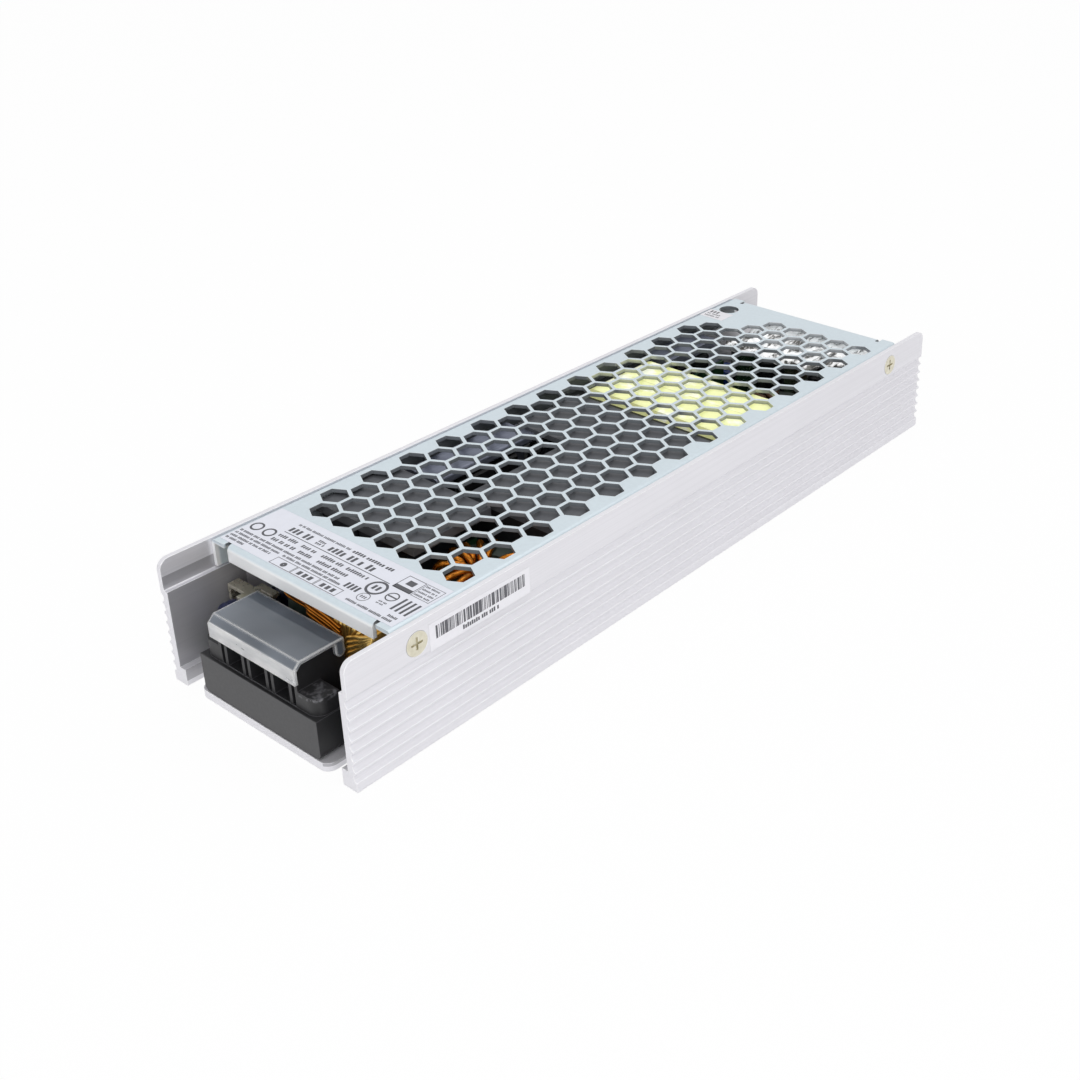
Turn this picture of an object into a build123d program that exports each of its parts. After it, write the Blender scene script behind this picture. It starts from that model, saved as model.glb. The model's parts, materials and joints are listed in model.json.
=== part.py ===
from build123d import *
import os
from math import cos, radians, sin, sqrt

# Slim enclosed switching power supply. Frame: X along the case from the mains end
# (-X) to the output end (+X), Y across it, Z up from the underside. Millimetres.

# Case extrusion
length = 220.0
width = 62.0
height = 31.0
base_t = 2.0
web_t = 1.6
rib_depth = 0.8
rib_pitch = 2.6
rib_flat = 0.4
first_scallop_z = 2.1
plain_band_h = 8.1
lip_t = 1.2
lip_h = 7.4
cove_r = 0.4
foot_w = 4.3
foot_h = 4.2
end_corner_r = 2.5
slot_w = 4.8
slot_depth = 7.5
tab_corner_r = 2.5
tapped_hole_r = 1.65
tapped_span_x = 150.0
tapped_span_y = 32.0

# Perforated cover
cover_t = 1.0
cover_front_gap = 13.2
cover_rear_gap = 13.5
cover_fit = 0.05
cover_bend_r = 1.4
cover_edge_strip = 2.0
cover_rail_gap = 0.1
cover_lip_drop = 4.0
cover_lip_half = 24.0
cover_notch_w = 1.1
cover_notch_depth = 2.6
cell_pitch_x = 6.07
cell_pitch_y = 7.38
cell_bar = 0.95
grille_front_margin = 23.9
grille_rear_margin = 11.5
grille_side_margin = 3.4
adjuster_hole_r = 3.0
adjuster_keep_out = 13.0

# Cover screws, whose heads fill the lip's thickness
screw_inset = 18.5
screw_drop = 4.9
screw_head_r = 2.85
screw_shank_r = 1.4
screw_length = 4.5
screw_play = 0.1
cross_w = 0.6
cross_l = 3.1
cross_depth = 0.7

# Circuit board and what carries it
board_t = 1.6
board_lift = 3.0
board_side_gap = 0.7
board_end_gap = 0.6
standoff_flats = 5.5
standoff_inset_y = 4.2
standoff_play = 1.0
board_screw_r = 1.4
board_screw_head_r = 2.6
board_screw_head_t = 1.6
board_screw_length = 4.1
sheet_t = 0.4
sheet_end_inset = 3.0
sheet_side_inset = 1.0
sheet_hole_gap = 0.5

# Terminal blocks
block_inset = 0.2
block_base_gap = 0.1
pole_gap = 5.1
barrier_t = 2.8
barrier_groove = 1.1
groove_depth = 3.6
skirt_depth = 6.8
skirt_top_z = 11.8
skirt_edge_r = 1.5
tower_front = 0.9
tower_depth = 13.5
tower_back_t = 2.0
tower_top_z = 22.3
tower_round_r = 1.7
tower_edge = 1.0
shoulder_top_z = 16.0
shoulder_r = 3.0
shoulder_overlap = 1.0
shoulder_inset = 0.4
well_floor_rise = 0.2
input_poles = 3
output_poles = 4
input_shoulder = 6.35
output_shoulder = 4.2
contact_t = 1.0
contact_front = 4.8
contact_upturn = 4.0
contact_side_gap = 0.1
clamp_t = 0.9
clamp_side_gap = 0.25
clamp_corner = 0.5
terminal_screw_depth = 7.75
terminal_screw_r = 1.5
terminal_screw_reach = 2.6
terminal_pocket_depth = 3.0
terminal_head_r = 2.35
terminal_head_t = 1.9
terminal_cross_l = 2.6

# Hinged lid over the mains terminals
lid_t = 0.8
lid_gap = 0.4
lid_lip_h = 5.1
lid_bevel = 1.7
lid_side_gap = 0.2
lid_rear_trim = 0.1
lid_leg_t = 0.9
lid_leg_r = 1.2
lid_pin_r = 0.7
lid_pin_play = 0.05
lid_pin_l = 1.5

# Room for the parts on the board
top_clearance = 1.7
wall_gap = 0.8
front_zone_gap = 2.6
rear_zone_gap = 1.0
zone_gap = 2.28
booster_share = 0.57

# Wire-wound rings
winding_gap = 0.1
turn_gap = 0.15
winding_end = 6.0
line_core_w = 9.0
line_core_t = 4.0
line_wire = 1.5
line_turns = 7
line_choke_offset = 6.5
facing_share = 0.83
facing_core_w = 14.0
facing_core_t = 3.4
facing_turns = 8
facing_wall_gap = 7.8
filter_od = 24.0
filter_core_w = 14.0
filter_core_t = 5.0
filter_wire = 1.6
filter_turns = 16
filter_wall_gap = 0.6
output_od = 22.0
output_core_w = 10.0
output_core_t = 4.4
output_wire = 1.9
output_turns = 11
output_wall_gap = 4.5

# Small parts at the mains end
lead_t = 0.6
disc_lift = 1.0
disc_edge = 1.0
fuse_size = (7.8, 7.6, 10.5)
fuse_end_gap = 1.0
fuse_corner_r = 2.6
fuse_top_edge = 0.6
varistor_t = 4.4
varistor_end_gap = 3.5
varistor_side_gap = 1.2
thermistor_r = 5.0
thermistor_t = 3.6
y_capacitor_r = 4.0
y_capacitor_t = 3.0
y_capacitor_gap = 1.0
y_capacitor_front = 8.6
strap_x = 8.0
strap_w = 3.0
strap_t = 0.8
strap_rise = 0.2
strap_reach = 6.0
strap_wall_gap = 0.4
fork_w = 7.0
fork_l = 6.0
fork_gap = 3.2
fork_gap_l = 4.0

# Moulded blocks, pads and power devices
pad_t = 1.4
pad_rise = 0.9
pad_reach = 9.0
box_capacitor_l = 21.0
box_capacitor_w = 12.0
box_capacitor_gap = 0.8
box_capacitor_corner_r = 0.8
pfc_w = 31.0
pfc_wall = 1.2
pfc_corner_r = 2.0
pfc_fill_gap = 0.2
heatsink_t = 3.0
heatsink_w = 11.0
heatsink_flange_t = 2.5
heatsink_edge_r = 0.8
heatsink_side_gap = 2.0
package_lift = 2.4
package_edge = 0.5
lead_w = 1.0
lead_overlap = 0.5
transistor_count = 3
transistor_gap = 1.5
transistor_end_gap = 0.5
transistor_t = 4.4
transistor_top_gap = 0.8
bridge_end_gap = 6.0
bridge_t = 3.6
bridge_top_gap = 1.3
rectifier_w = 10.0
rectifier_top_gap = 2.8
rectifier_gap = 1.0
secondary_sink_t = 2.5
secondary_sink_w = 9.0
secondary_sink_drop = 1.0
card_t = 1.0
card_h = 15.0
card_inset_x = 1.0
card_inset_y = 13.0
chip_size = (4.0, 1.2, 4.0)
chip_z = 5.0
chip_pitch = 6.0
chip_count = 3

# Capacitor cans and busbars
can_edge = 0.6
crimp_inset = 4.2
crimp_half = 1.0
crimp_depth = 0.6
bulk_top_gap = 0.5
bulk_screw_gap = 0.3
output_can_r = 4.0
output_can_h = 16.0
output_can_pitch = 9.0
output_can_rows = 4
busbar_w = 8.0
busbar_t = 1.2
busbar_gap = 0.2
busbar_lift = 0.8
film_t = 0.4
film_inset_x = 2.0
film_overhang = 8.0
film_leg_half = 13.0

# Transformer
transformer_core_t = 3.5
transformer_core_lift = 2.6
transformer_core_drop = 2.1
transformer_wall_gap = 0.4
transformer_side_t = 3.6
transformer_leg_w = 28.2
transformer_leg_h = 6.0
transformer_half_gap = 0.04
transformer_fit = 0.3
leg_fit = 0.1
carrier_t = 1.2
coil_round_r = 3.0
coil_rise = 0.4
tape_round_r = 0.9

# Trimmer, lamp and signal socket at the output end
trimmer_size = 6.6
trimmer_h = 4.8
trimmer_corner = 0.6
trimmer_inset_x = 22.5
trimmer_inset_y = 6.5
rotor_r = 1.9
rotor_t = 1.8
rotor_pocket = 1.6
rotor_play = 0.05
rotor_slot_w = 0.7
rotor_slot_depth = 0.7
led_inset_x = 3.5
led_inset_y = 3.2
led_r = 1.5
led_h = 3.4
led_lift = 3.0
led_flange = 0.35
led_flange_t = 0.8
led_lead_pitch = 1.6
header_l = 7.6
header_w = 5.0
header_h = 6.6
header_wall = 0.8
header_floor = 1.2
header_end_gap = 0.5
header_side_gap = 0.4
pin_pitch = 2.5
pin_t = 0.6
pin_h = 4.6

# Places that follow from the sizes
half_l = length / 2
half_w = width / 2
inner_y = half_w - rib_depth - web_t
lip_y = half_w - lip_t
foot_y = half_w - foot_w
ledge_z = height - lip_h
cover_front = -half_l + cover_front_gap
cover_rear = half_l - cover_rear_gap
cover_half = lip_y - cover_fit
cover_under_z = height - cover_t
screw_x = half_l - screw_inset
screw_z = height - screw_drop
board_z = base_t + board_lift
board_top = board_z + board_t
block_front = -half_l + block_inset
block_back = block_front + tower_depth
board_front = block_front + skirt_depth + board_end_gap
board_rear = -board_front
board_half = inner_y - board_side_gap
part_half = inner_y - wall_gap
parts_top = cover_under_z - top_clearance
parts_h = parts_top - board_top
well_floor_z = skirt_top_z + well_floor_rise
pole_pitch = pole_gap + barrier_t
input_half = (input_poles * pole_pitch + barrier_t) / 2
output_half = (output_poles * pole_pitch + barrier_t) / 2
lid_side_y = input_half + lid_side_gap + lid_leg_t
lid_pivot_x = block_back - tower_round_r
lid_pivot_z = tower_top_z - tower_round_r
adjuster_x = half_l - trimmer_inset_x
adjuster_y = half_w - trimmer_inset_y
LOW = (Align.CENTER, Align.CENTER, Align.MIN)
FROM_CORNER = (Align.MIN, Align.MIN, Align.MIN)


def block(x, y, z):
    """Box between a pair of limits on each axis."""
    size = (x[1] - x[0], y[1] - y[0], z[1] - z[0])
    return Pos(x[0], y[0], z[0]) * Box(*size, align=FROM_CORNER)


def upright(x, y, z, radius, tall):
    """Cylinder standing on z."""
    return Pos(x, y, z) * Cylinder(radius, tall, align=LOW)


def along_x(x, y, z, radius, long):
    """Cylinder that starts at x and runs towards +X."""
    return Pos(x, y, z) * Rot(0, 90, 0) * Cylinder(radius, long, align=LOW)


def along_y(x, y, z, radius, long):
    """Cylinder that starts at y and runs towards +Y."""
    return Pos(x, y, z) * Rot(-90, 0, 0) * Cylinder(radius, long, align=LOW)


def group(parts):
    """Several separate solids kept in one node."""
    return Compound([solid for part in parts for solid in part.solids()])


def mirrored(part):
    """The part and its mirror image across the case's middle plane."""
    return [part, mirror(part, Plane.XZ)]


def spread(first, last, sizes):
    """Centres of a row of sizes laid between two limits with equal gaps."""
    gap = (last - first - sum(sizes)) / (len(sizes) - 1)
    starts = [first + sum(sizes[:i]) + gap * i for i in range(len(sizes))]
    return [start + size / 2 for start, size in zip(starts, sizes)]


def arc(centre, radius, start, end):
    """Arc between two angles in degrees."""
    points = []
    for angle in (start, (start + end) / 2, end):
        points.append((centre[0] + radius * cos(radians(angle)), centre[1] + radius * sin(radians(angle))))
    return ThreePointArc(*points)


# The board's room is shared out along X, from the mains end to the output end. The
# booster's box and the transformer's coil take what the other parts leave.
line_od = parts_h
bulk_r = (parts_h - bulk_top_gap) / 2
can_zone = output_can_pitch + 2 * (output_can_r + busbar_gap + busbar_t)
room = (block_back + front_zone_gap, -block_back - rear_zone_gap)
taken = line_od + filter_od + 2 * bulk_r + 2 * transformer_core_t + output_od + can_zone
left_over = room[1] - room[0] - taken - 6 * zone_gap
pfc_l = booster_share * left_over
coil_l = left_over - pfc_l
transformer_l = coil_l + 2 * transformer_core_t
zone_sizes = [line_od, filter_od, pfc_l, 2 * bulk_r, transformer_l, output_od, can_zone]
line_x, filter_x, pfc_x, bulk_x, transformer_x, output_x, can_x = spread(*room, zone_sizes)
pfc_y = pfc_w / 2 - part_half
sink_y = part_half - heatsink_side_gap - heatsink_w / 2
standoff_y = board_half - standoff_inset_y
standoff_x = (line_x + line_od / 2 - board_screw_head_r - standoff_play, bulk_x,
              can_x - can_zone / 2 + board_screw_head_r + standoff_play)
standoff_places = [(x, y) for x in standoff_x for y in (-standoff_y, standoff_y)]
tapped_places = [(x * tapped_span_x / 2, y * tapped_span_y / 2) for x in (-1, 1) for y in (-1, 1)]
bulk_l = 2 * (standoff_y - board_screw_head_r - bulk_screw_gap)
coil_w = 2 * (part_half - transformer_wall_gap - transformer_side_t - transformer_fit)
transformer_core_h = parts_h - transformer_core_lift - transformer_core_drop
varistor_r = (part_half - lid_side_y) / 2 - varistor_side_gap
package_top = parts_h - package_lift - heatsink_flange_t
transistor_w = (pfc_l - 2 * transistor_end_gap - (transistor_count - 1) * transistor_gap) / transistor_count
transistor_size = (transistor_w, transistor_t, package_top - transistor_top_gap)
bridge_size = (pfc_l - 2 * bridge_end_gap, bridge_t, package_top - bridge_top_gap)
rectifier_tall = parts_h - secondary_sink_drop - secondary_sink_t - package_lift - rectifier_top_gap
rectifier_size = (rectifier_w, transistor_t, rectifier_tall)


# Case and cover

def wall_profile():
    """Section of the +Y wall: ribbed outside, foot inside, thin lip on top."""
    scallops = round((height - plain_band_h - first_scallop_z) / rib_pitch)
    edges = [Line((foot_y, 0), (half_w, 0)), Line((half_w, 0), (half_w, first_scallop_z + rib_flat / 2))]
    for i in range(scallops):
        low = first_scallop_z + i * rib_pitch + rib_flat / 2
        high = low + rib_pitch - rib_flat
        edges.append(ThreePointArc((half_w, low), (half_w - rib_depth, (low + high) / 2), (half_w, high)))
        top = height if i == scallops - 1 else high + rib_flat
        edges.append(Line((half_w, high), (half_w, top)))
    edges.append(Polyline((half_w, height), (lip_y, height), (lip_y, ledge_z + cove_r)))
    edges.append(arc((lip_y - cove_r, ledge_z + cove_r), cove_r, 0, -90))
    edges.append(Polyline((lip_y - cove_r, ledge_z), (inner_y, ledge_z), (inner_y, foot_h)))
    edges.append(Polyline((inner_y, foot_h), (foot_y, foot_h), (foot_y, 0)))
    return make_face(edges)


def end_slots():
    """Open-ended slots beside the feet for the fixing screws."""
    cuts = []
    middle = foot_y - slot_w / 2
    round_x = half_l - slot_depth + slot_w / 2
    for side in (-1, 1):
        for end in (-1, 1):
            cuts.append(Pos(end * round_x, side * middle, 0) * Cylinder(slot_w / 2, 4 * base_t))
            straight = Pos(end * (half_l + round_x) / 2, side * middle, 0)
            cuts.append(straight * Box(half_l - round_x, slot_w, 4 * base_t))
    return cuts


def case_extrusion():
    wall = extrude(Plane.YZ * wall_profile(), amount=half_l, both=True)
    outline = Plane.XZ * Pos(0, height / 2) * Rectangle(length, height)
    corners = outline.vertices().group_by(Axis.Z)[-1]
    wall &= extrude(fillet(corners, end_corner_r), amount=-2 * half_w)
    base = Pos(0, 0, base_t / 2) * Box(length, 2 * foot_y + base_t, base_t)
    tab_edge = foot_y - slot_w
    case = base + mirrored(wall)
    case -= end_slots()
    tips = [e for e in case.edges().filter_by(Axis.Z)
            if abs(abs(e.center().X) - half_l) < 0.01 and abs(abs(e.center().Y) - tab_edge) < 0.01]
    case = fillet(tips, tab_corner_r)
    for x, y in tapped_places:
        case -= Pos(x, y, 0) * Cylinder(tapped_hole_r, 4 * base_t)
    for x in (-screw_x, screw_x):
        seat = Cone(screw_head_r + screw_play, screw_shank_r + screw_play, lip_t, align=LOW)
        case -= mirrored(Pos(x, half_w, screw_z) * Rot(90, 0, 0) * seat)
    return case


def cell_wire(x, y):
    """Outline of one six-sided cell, with its points along X."""
    point = 2 * cell_pitch_x / 3 - cell_bar / sqrt(3)
    shoulder = cell_pitch_x / 3 - cell_bar / (2 * sqrt(3))
    flat = (cell_pitch_y - cell_bar) / 2
    corners = [(x + point, y), (x + shoulder, y + flat), (x - shoulder, y + flat),
               (x - point, y), (x - shoulder, y - flat), (x + shoulder, y - flat)]
    return Wire.make_polygon([Vector(a, b, cover_under_z) for a, b in corners], close=True)


def grille_cells():
    """Centres of the cells, leaving the corner round the adjuster hole plain."""
    first = cover_front + grille_front_margin
    columns = int((cover_rear - grille_rear_margin - first) / cell_pitch_x) + 1
    rows = int((2 * cover_half - 2 * grille_side_margin) / cell_pitch_y)
    cells = []
    for column in range(columns):
        shift = -cell_pitch_y / 4 if column % 2 == 0 else cell_pitch_y / 4
        for row in range(rows):
            x = first + column * cell_pitch_x
            y = shift + (row - (rows - 1) / 2) * cell_pitch_y
            if sqrt((x - adjuster_x) ** 2 + (y - adjuster_y) ** 2) > adjuster_keep_out:
                cells.append((x, y))
    return cells


def bent_edge(reach, drop):
    """Section of a folded edge: flat sheet turning down over one bend."""
    inside = cover_bend_r - cover_t
    start = reach - cover_edge_strip
    centre = (reach - cover_bend_r, height - cover_bend_r)
    edges = [Polyline((start, cover_under_z), (start, height), (centre[0], height)),
             arc(centre, cover_bend_r, 90, 0),
             Polyline((reach, centre[1]), (reach, height - drop), (reach - cover_t, height - drop),
                      (reach - cover_t, centre[1])),
             arc(centre, inside, 0, 90),
             Line((centre[0], cover_under_z), (start, cover_under_z))]
    return make_face(edges)


def top_cover():
    """Perforated plate folded down along both sides and, between two notches, at both ends."""
    middle = (cover_front + cover_rear) / 2
    long = cover_rear - cover_front
    flat_y = cover_half - cover_edge_strip
    corners = [(cover_front, -flat_y), (cover_rear, -flat_y), (cover_rear, flat_y), (cover_front, flat_y)]
    rim = Wire.make_polygon([Vector(a, b, cover_under_z) for a, b in corners], close=True)
    plate = extrude(Face(rim, [cell_wire(x, y) for x, y in grille_cells()]), amount=cover_t, dir=(0, 0, 1))
    rail_drop = lip_h - cove_r - cover_rail_gap
    rail = extrude(Plane.YZ * bent_edge(cover_half, rail_drop), amount=long / 2, both=True)
    cover = plate + mirrored(Pos(middle, 0, 0) * rail)
    for end, place in ((cover_front, -1), (cover_rear, 1)):
        cover -= Pos(end, 0, height) * Box(2 * cover_bend_r, 2 * cover_lip_half, 4 * cover_t)
        for side in (-1, 1):
            notch = Pos(end, side * (cover_lip_half + cover_notch_w / 2), height)
            cover -= notch * Box(2 * cover_notch_depth, cover_notch_w, 4 * cover_t)
        lip = extrude(Plane.XZ * bent_edge(place * end, cover_lip_drop), amount=cover_lip_half, both=True)
        cover += lip if place > 0 else mirror(lip, Plane.YZ)
    cover -= upright(adjuster_x, adjuster_y, cover_under_z - cover_t, adjuster_hole_r, 3 * cover_t)
    for x in (-screw_x, screw_x):
        bore = along_y(x, cover_half - 2 * cover_t, screw_z, screw_shank_r + screw_play, 3 * cover_t)
        cover -= mirrored(bore)
    return cover


def cover_screws():
    """Four countersunk cross-recess screws through the lips into the cover."""
    screws = []
    for x in (-screw_x, screw_x):
        screw = Cone(screw_head_r, screw_shank_r, lip_t, align=LOW)
        screw += Cylinder(screw_shank_r, screw_length, align=LOW)
        for turn in (0, 90):
            screw -= Rot(0, 0, turn) * Box(cross_l, cross_w, 2 * cross_depth)
        screws += mirrored(Pos(x, half_w, screw_z) * Rot(90, 0, 0) * screw)
    return group(screws)


# Circuit board and what carries it

def insulating_sheet():
    """Film between the base and the board, open round the standoffs and the tapped holes."""
    sheet = Pos(0, 0, base_t) * Box(
        2 * (board_rear - sheet_end_inset), 2 * (foot_y - sheet_side_inset), sheet_t, align=LOW)
    hexagon = RegularPolygon(standoff_flats / 2 + sheet_hole_gap, 6, major_radius=False)
    for x, y in standoff_places:
        sheet -= Pos(x, y, base_t) * extrude(hexagon, amount=2 * sheet_t)
    for x, y in tapped_places:
        sheet -= Pos(x, y, base_t) * Cylinder(tapped_hole_r + sheet_hole_gap, 4 * sheet_t)
    return sheet


def board_standoffs():
    """Six-sided threaded pillars."""
    posts = []
    hexagon = RegularPolygon(standoff_flats / 2, 6, major_radius=False)
    section = hexagon - Circle(board_screw_r + screw_play)
    for x, y in standoff_places:
        posts.append(Pos(x, y, base_t) * extrude(section, amount=board_lift))
    return group(posts)


def board_screws():
    screws = []
    for x, y in standoff_places:
        head = upright(x, y, board_top, board_screw_head_r, board_screw_head_t)
        shank = upright(x, y, board_top - board_screw_length, board_screw_r, board_screw_length)
        screws.append(head + shank)
    return group(screws)


def circuit_board():
    board = Pos(0, 0, board_z) * Box(2 * board_rear, 2 * board_half, board_t, align=LOW)
    for x, y in standoff_places:
        board -= upright(x, y, board_z - board_t, board_screw_r + screw_play, 3 * board_t)
    return board


# Terminal blocks

def pole_places(poles):
    return [(i - (poles - 1) / 2) * pole_pitch for i in range(poles)]


def to_end(part, end):
    """Moves a block built from x = 0 inwards to the mains end or the output end."""
    if end < 0:
        return Pos(block_front, 0, 0) * part
    return Pos(-block_front, 0, 0) * Rot(0, 0, 180) * part


def terminal_body(poles, half, shoulder, end, hinged):
    """Moulded barrier block: skirt in front of the board, tower with screw wells on it."""
    skirt = block((0, skirt_depth), (-half - shoulder, half + shoulder),
                  (base_t + block_base_gap, skirt_top_z))
    skirt = fillet(skirt.edges().filter_by(Axis.X).group_by(Axis.Z)[0], skirt_edge_r)
    centre = (tower_depth - tower_round_r, tower_top_z - tower_round_r)
    outline = [Polyline((tower_depth, centre[1]), (tower_depth, board_top), (tower_front, board_top),
                        (tower_front, tower_top_z - tower_edge), (tower_front + tower_edge, tower_top_z),
                        (centre[0], tower_top_z)),
               arc(centre, tower_round_r, 90, 0)]
    tower = extrude(Plane.XZ * make_face(outline), amount=half, both=True)
    wing = block((tower_front, skirt_depth), (half - shoulder_overlap, half + shoulder - shoulder_inset),
                 (skirt_top_z - shoulder_overlap, shoulder_top_z))
    front_edge = wing.edges().filter_by(Axis.Z).sort_by(lambda e: e.center().X - e.center().Y)[0]
    wing = fillet(front_edge, shoulder_r)
    body = skirt + tower + mirrored(wing)
    well_x = (0, tower_depth - tower_back_t)
    well_z = (well_floor_z, 2 * tower_top_z)
    pocket = terminal_screw_r + screw_play
    pocket_x = (terminal_screw_depth - pocket, terminal_screw_depth + pocket)
    for y in pole_places(poles):
        body -= block(well_x, (y - pole_gap / 2, y + pole_gap / 2), well_z)
        body -= block(pocket_x, (y - pocket, y + pocket), (well_floor_z - terminal_pocket_depth, tower_top_z))
    for y in pole_places(poles + 1):
        body -= block((0, tower_front + groove_depth), (y - barrier_groove / 2, y + barrier_groove / 2), well_z)
    if hinged:
        depth = lid_pin_l + lid_side_gap
        body -= mirrored(along_y(centre[0], half - depth, centre[1], lid_pin_r + lid_pin_play, 2 * depth))
    return to_end(body, end)


def terminal_contacts(poles, end):
    """Plated strips on the well floors, turned up at the back wall."""
    strips = []
    back = tower_depth - tower_back_t
    reach = pole_gap / 2 - contact_side_gap
    for y in pole_places(poles):
        side = (y - reach, y + reach)
        strip = block((contact_front, back), side, (well_floor_z, well_floor_z + contact_t))
        strip += block((back - contact_t, back), side, (well_floor_z, well_floor_z + contact_upturn))
        strip -= upright(terminal_screw_depth, y, 0, terminal_screw_r + screw_play, height)
        strips.append(to_end(strip, end))
    return group(strips)


def terminal_clamps(poles, end):
    """Square plates under the screw heads that press the wires down."""
    clamps = []
    low = well_floor_z + contact_t
    reach = pole_gap / 2 - clamp_side_gap
    for y in pole_places(poles):
        clamp = Pos(terminal_screw_depth, y, low) * Box(2 * reach, 2 * reach, clamp_t, align=LOW)
        clamp = chamfer(clamp.edges().filter_by(Axis.Z), clamp_corner)
        clamp -= upright(terminal_screw_depth, y, 0, terminal_screw_r + screw_play, height)
        clamps.append(to_end(clamp, end))
    return group(clamps)


def terminal_screws(poles, end):
    screws = []
    seat = well_floor_z + contact_t + clamp_t
    foot = well_floor_z - terminal_screw_reach
    for y in pole_places(poles):
        screw = upright(terminal_screw_depth, y, seat, terminal_head_r, terminal_head_t)
        screw += upright(terminal_screw_depth, y, foot, terminal_screw_r, seat - foot)
        for turn in (0, 90):
            recess = Rot(0, 0, turn) * Box(terminal_cross_l, cross_w, 2 * cross_depth)
            screw -= Pos(terminal_screw_depth, y, seat + terminal_head_t) * recess
        screws.append(to_end(screw, end))
    return group(screws)


def input_terminal_lid():
    """Clear lid: top plate with a front lip, and two legs whose pins turn in the block."""
    front = -half_l
    top = tower_top_z + lid_gap + lid_t
    rear = lid_pivot_x + lid_leg_r - lid_rear_trim
    inside = lid_bevel + lid_t * (sqrt(2) - 1)
    outline = [(front + lid_bevel, top), (rear, top), (rear, top - lid_t), (front + inside, top - lid_t),
               (front + lid_t, top - inside), (front + lid_t, top - lid_lip_h), (front, top - lid_lip_h),
               (front, top - lid_bevel)]
    lid = extrude(Plane.XZ * make_face(Polyline(*outline, close=True)), amount=lid_side_y, both=True)
    leg_y = lid_side_y - lid_leg_t
    leg = along_y(lid_pivot_x, leg_y, lid_pivot_z, lid_leg_r, lid_leg_t)
    leg += block((lid_pivot_x - lid_leg_r, rear), (leg_y, lid_side_y), (lid_pivot_z, top - lid_t / 2))
    leg += along_y(lid_pivot_x, input_half - lid_pin_l, lid_pivot_z, lid_pin_r,
                   lid_pin_l + lid_side_gap + lid_leg_t / 2)
    return lid + mirrored(leg)


# Wire-wound rings

def wound(size, wire):
    """A core's size with one layer of wire over it."""
    return size + 2 * (wire + winding_gap)


def ring_core(od, core_w, core_t, wire):
    """Ring core, lying flat round the origin."""
    outer = od / 2 - wire - winding_gap
    return Cylinder(outer, core_w) - Cylinder(outer - core_t, core_w)


def ring_winding(od, core_w, core_t, wire, turns, arcs):
    """Thin sleeve round the core with one raised loop for each turn."""
    middle = od / 2 - wire - winding_gap - core_t / 2
    hole = (core_t + 2 * winding_gap, core_w + 2 * winding_gap)
    section = Rectangle(hole[0] + wire, hole[1] + wire) - Rectangle(*hole)
    window = Box(hole[0], 2 * wire, hole[1])
    loop = Box(hole[0] + 2 * wire, wire - turn_gap, hole[1] + 2 * wire) - window
    windings = []
    for start, sweep in arcs:
        coil = Rot(0, 0, start) * revolve(Plane.XZ * Pos(middle, 0) * section, Axis.Z, sweep)
        step = (sweep - 2 * winding_end) / (turns - 1)
        for i in range(turns):
            coil += Rot(0, 0, start + winding_end + step * i) * Pos(middle, 0, 0) * loop
        windings.append(coil)
    return windings


def seated(parts, place):
    """Places a list of solids and returns them as one node."""
    return group([place * part for part in parts])


def line_chokes():
    """Two mains chokes: one rolls along X, the lower and wider one faces the mains end."""
    halves = [(8, 164), (188, 164)]
    rolling_sizes = (line_od, line_core_w, line_core_t, line_wire)
    rolling = Pos(line_x, line_choke_offset, board_top + line_od / 2) * Rot(90, 0, 0)
    facing_od = facing_share * line_od
    facing_sizes = (facing_od, facing_core_w, facing_core_t, line_wire)
    facing_x = line_x - line_od / 2 + wound(facing_core_w, line_wire) / 2
    facing = Pos(facing_x, facing_od / 2 - part_half + facing_wall_gap,
                 board_top + facing_od / 2) * Rot(0, 90, 0)
    cores = [rolling * ring_core(*rolling_sizes), facing * ring_core(*facing_sizes)]
    coils = [seated(ring_winding(*rolling_sizes, line_turns, halves), rolling),
             seated(ring_winding(*facing_sizes, facing_turns, halves), facing)]
    return group(cores), group(coils)


def flat_choke(x, gap, sizes, turns):
    """Ring choke lying on the board beside the -Y wall."""
    od, core_w, _, wire = sizes
    place = Pos(x, od / 2 - part_half + gap, board_top + wound(core_w, wire) / 2)
    return place * ring_core(*sizes), seated(ring_winding(*sizes, turns, [(5, 345)]), place)


# Small parts at the mains end

def disc(x, y, radius, thick):
    """Dipped disc part standing on its two leads, with its flat sides facing along X."""
    centre = board_top + disc_lift + radius
    body = along_x(x - thick / 2, y, centre, radius, thick)
    body = chamfer(body.edges().filter_by(GeomType.CIRCLE), disc_edge)
    half = lead_t / 2
    for side in (-radius / 2, radius / 2):
        body += block((x - half, x + half), (y + side - half, y + side + half), (board_top, centre))
    return body


def input_fuse():
    """Boxed fuse beside the mains block."""
    x = block_front + skirt_depth + fuse_end_gap + fuse_size[0] / 2
    y = -(lid_side_y + part_half) / 2
    body = Pos(x, y, board_top) * Box(*fuse_size, align=LOW)
    body = fillet(body.edges().filter_by(Axis.Z), fuse_corner_r)
    return chamfer(body.edges().group_by(Axis.Z)[-1], fuse_top_edge)


def varistor():
    return disc(board_front + varistor_end_gap, (lid_side_y + part_half) / 2, varistor_r, varistor_t)


def inrush_thermistor():
    return disc(line_x - line_od / 2 + thermistor_t, part_half - thermistor_r, thermistor_r, thermistor_t)


def y_capacitors():
    y = part_half - y_capacitor_r - wall_gap
    first = line_x - line_od / 2 + y_capacitor_front
    pitch = y_capacitor_t + y_capacitor_gap
    return group([disc(first + i * pitch, y, y_capacitor_r, y_capacitor_t) for i in (0, 1)])


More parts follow.
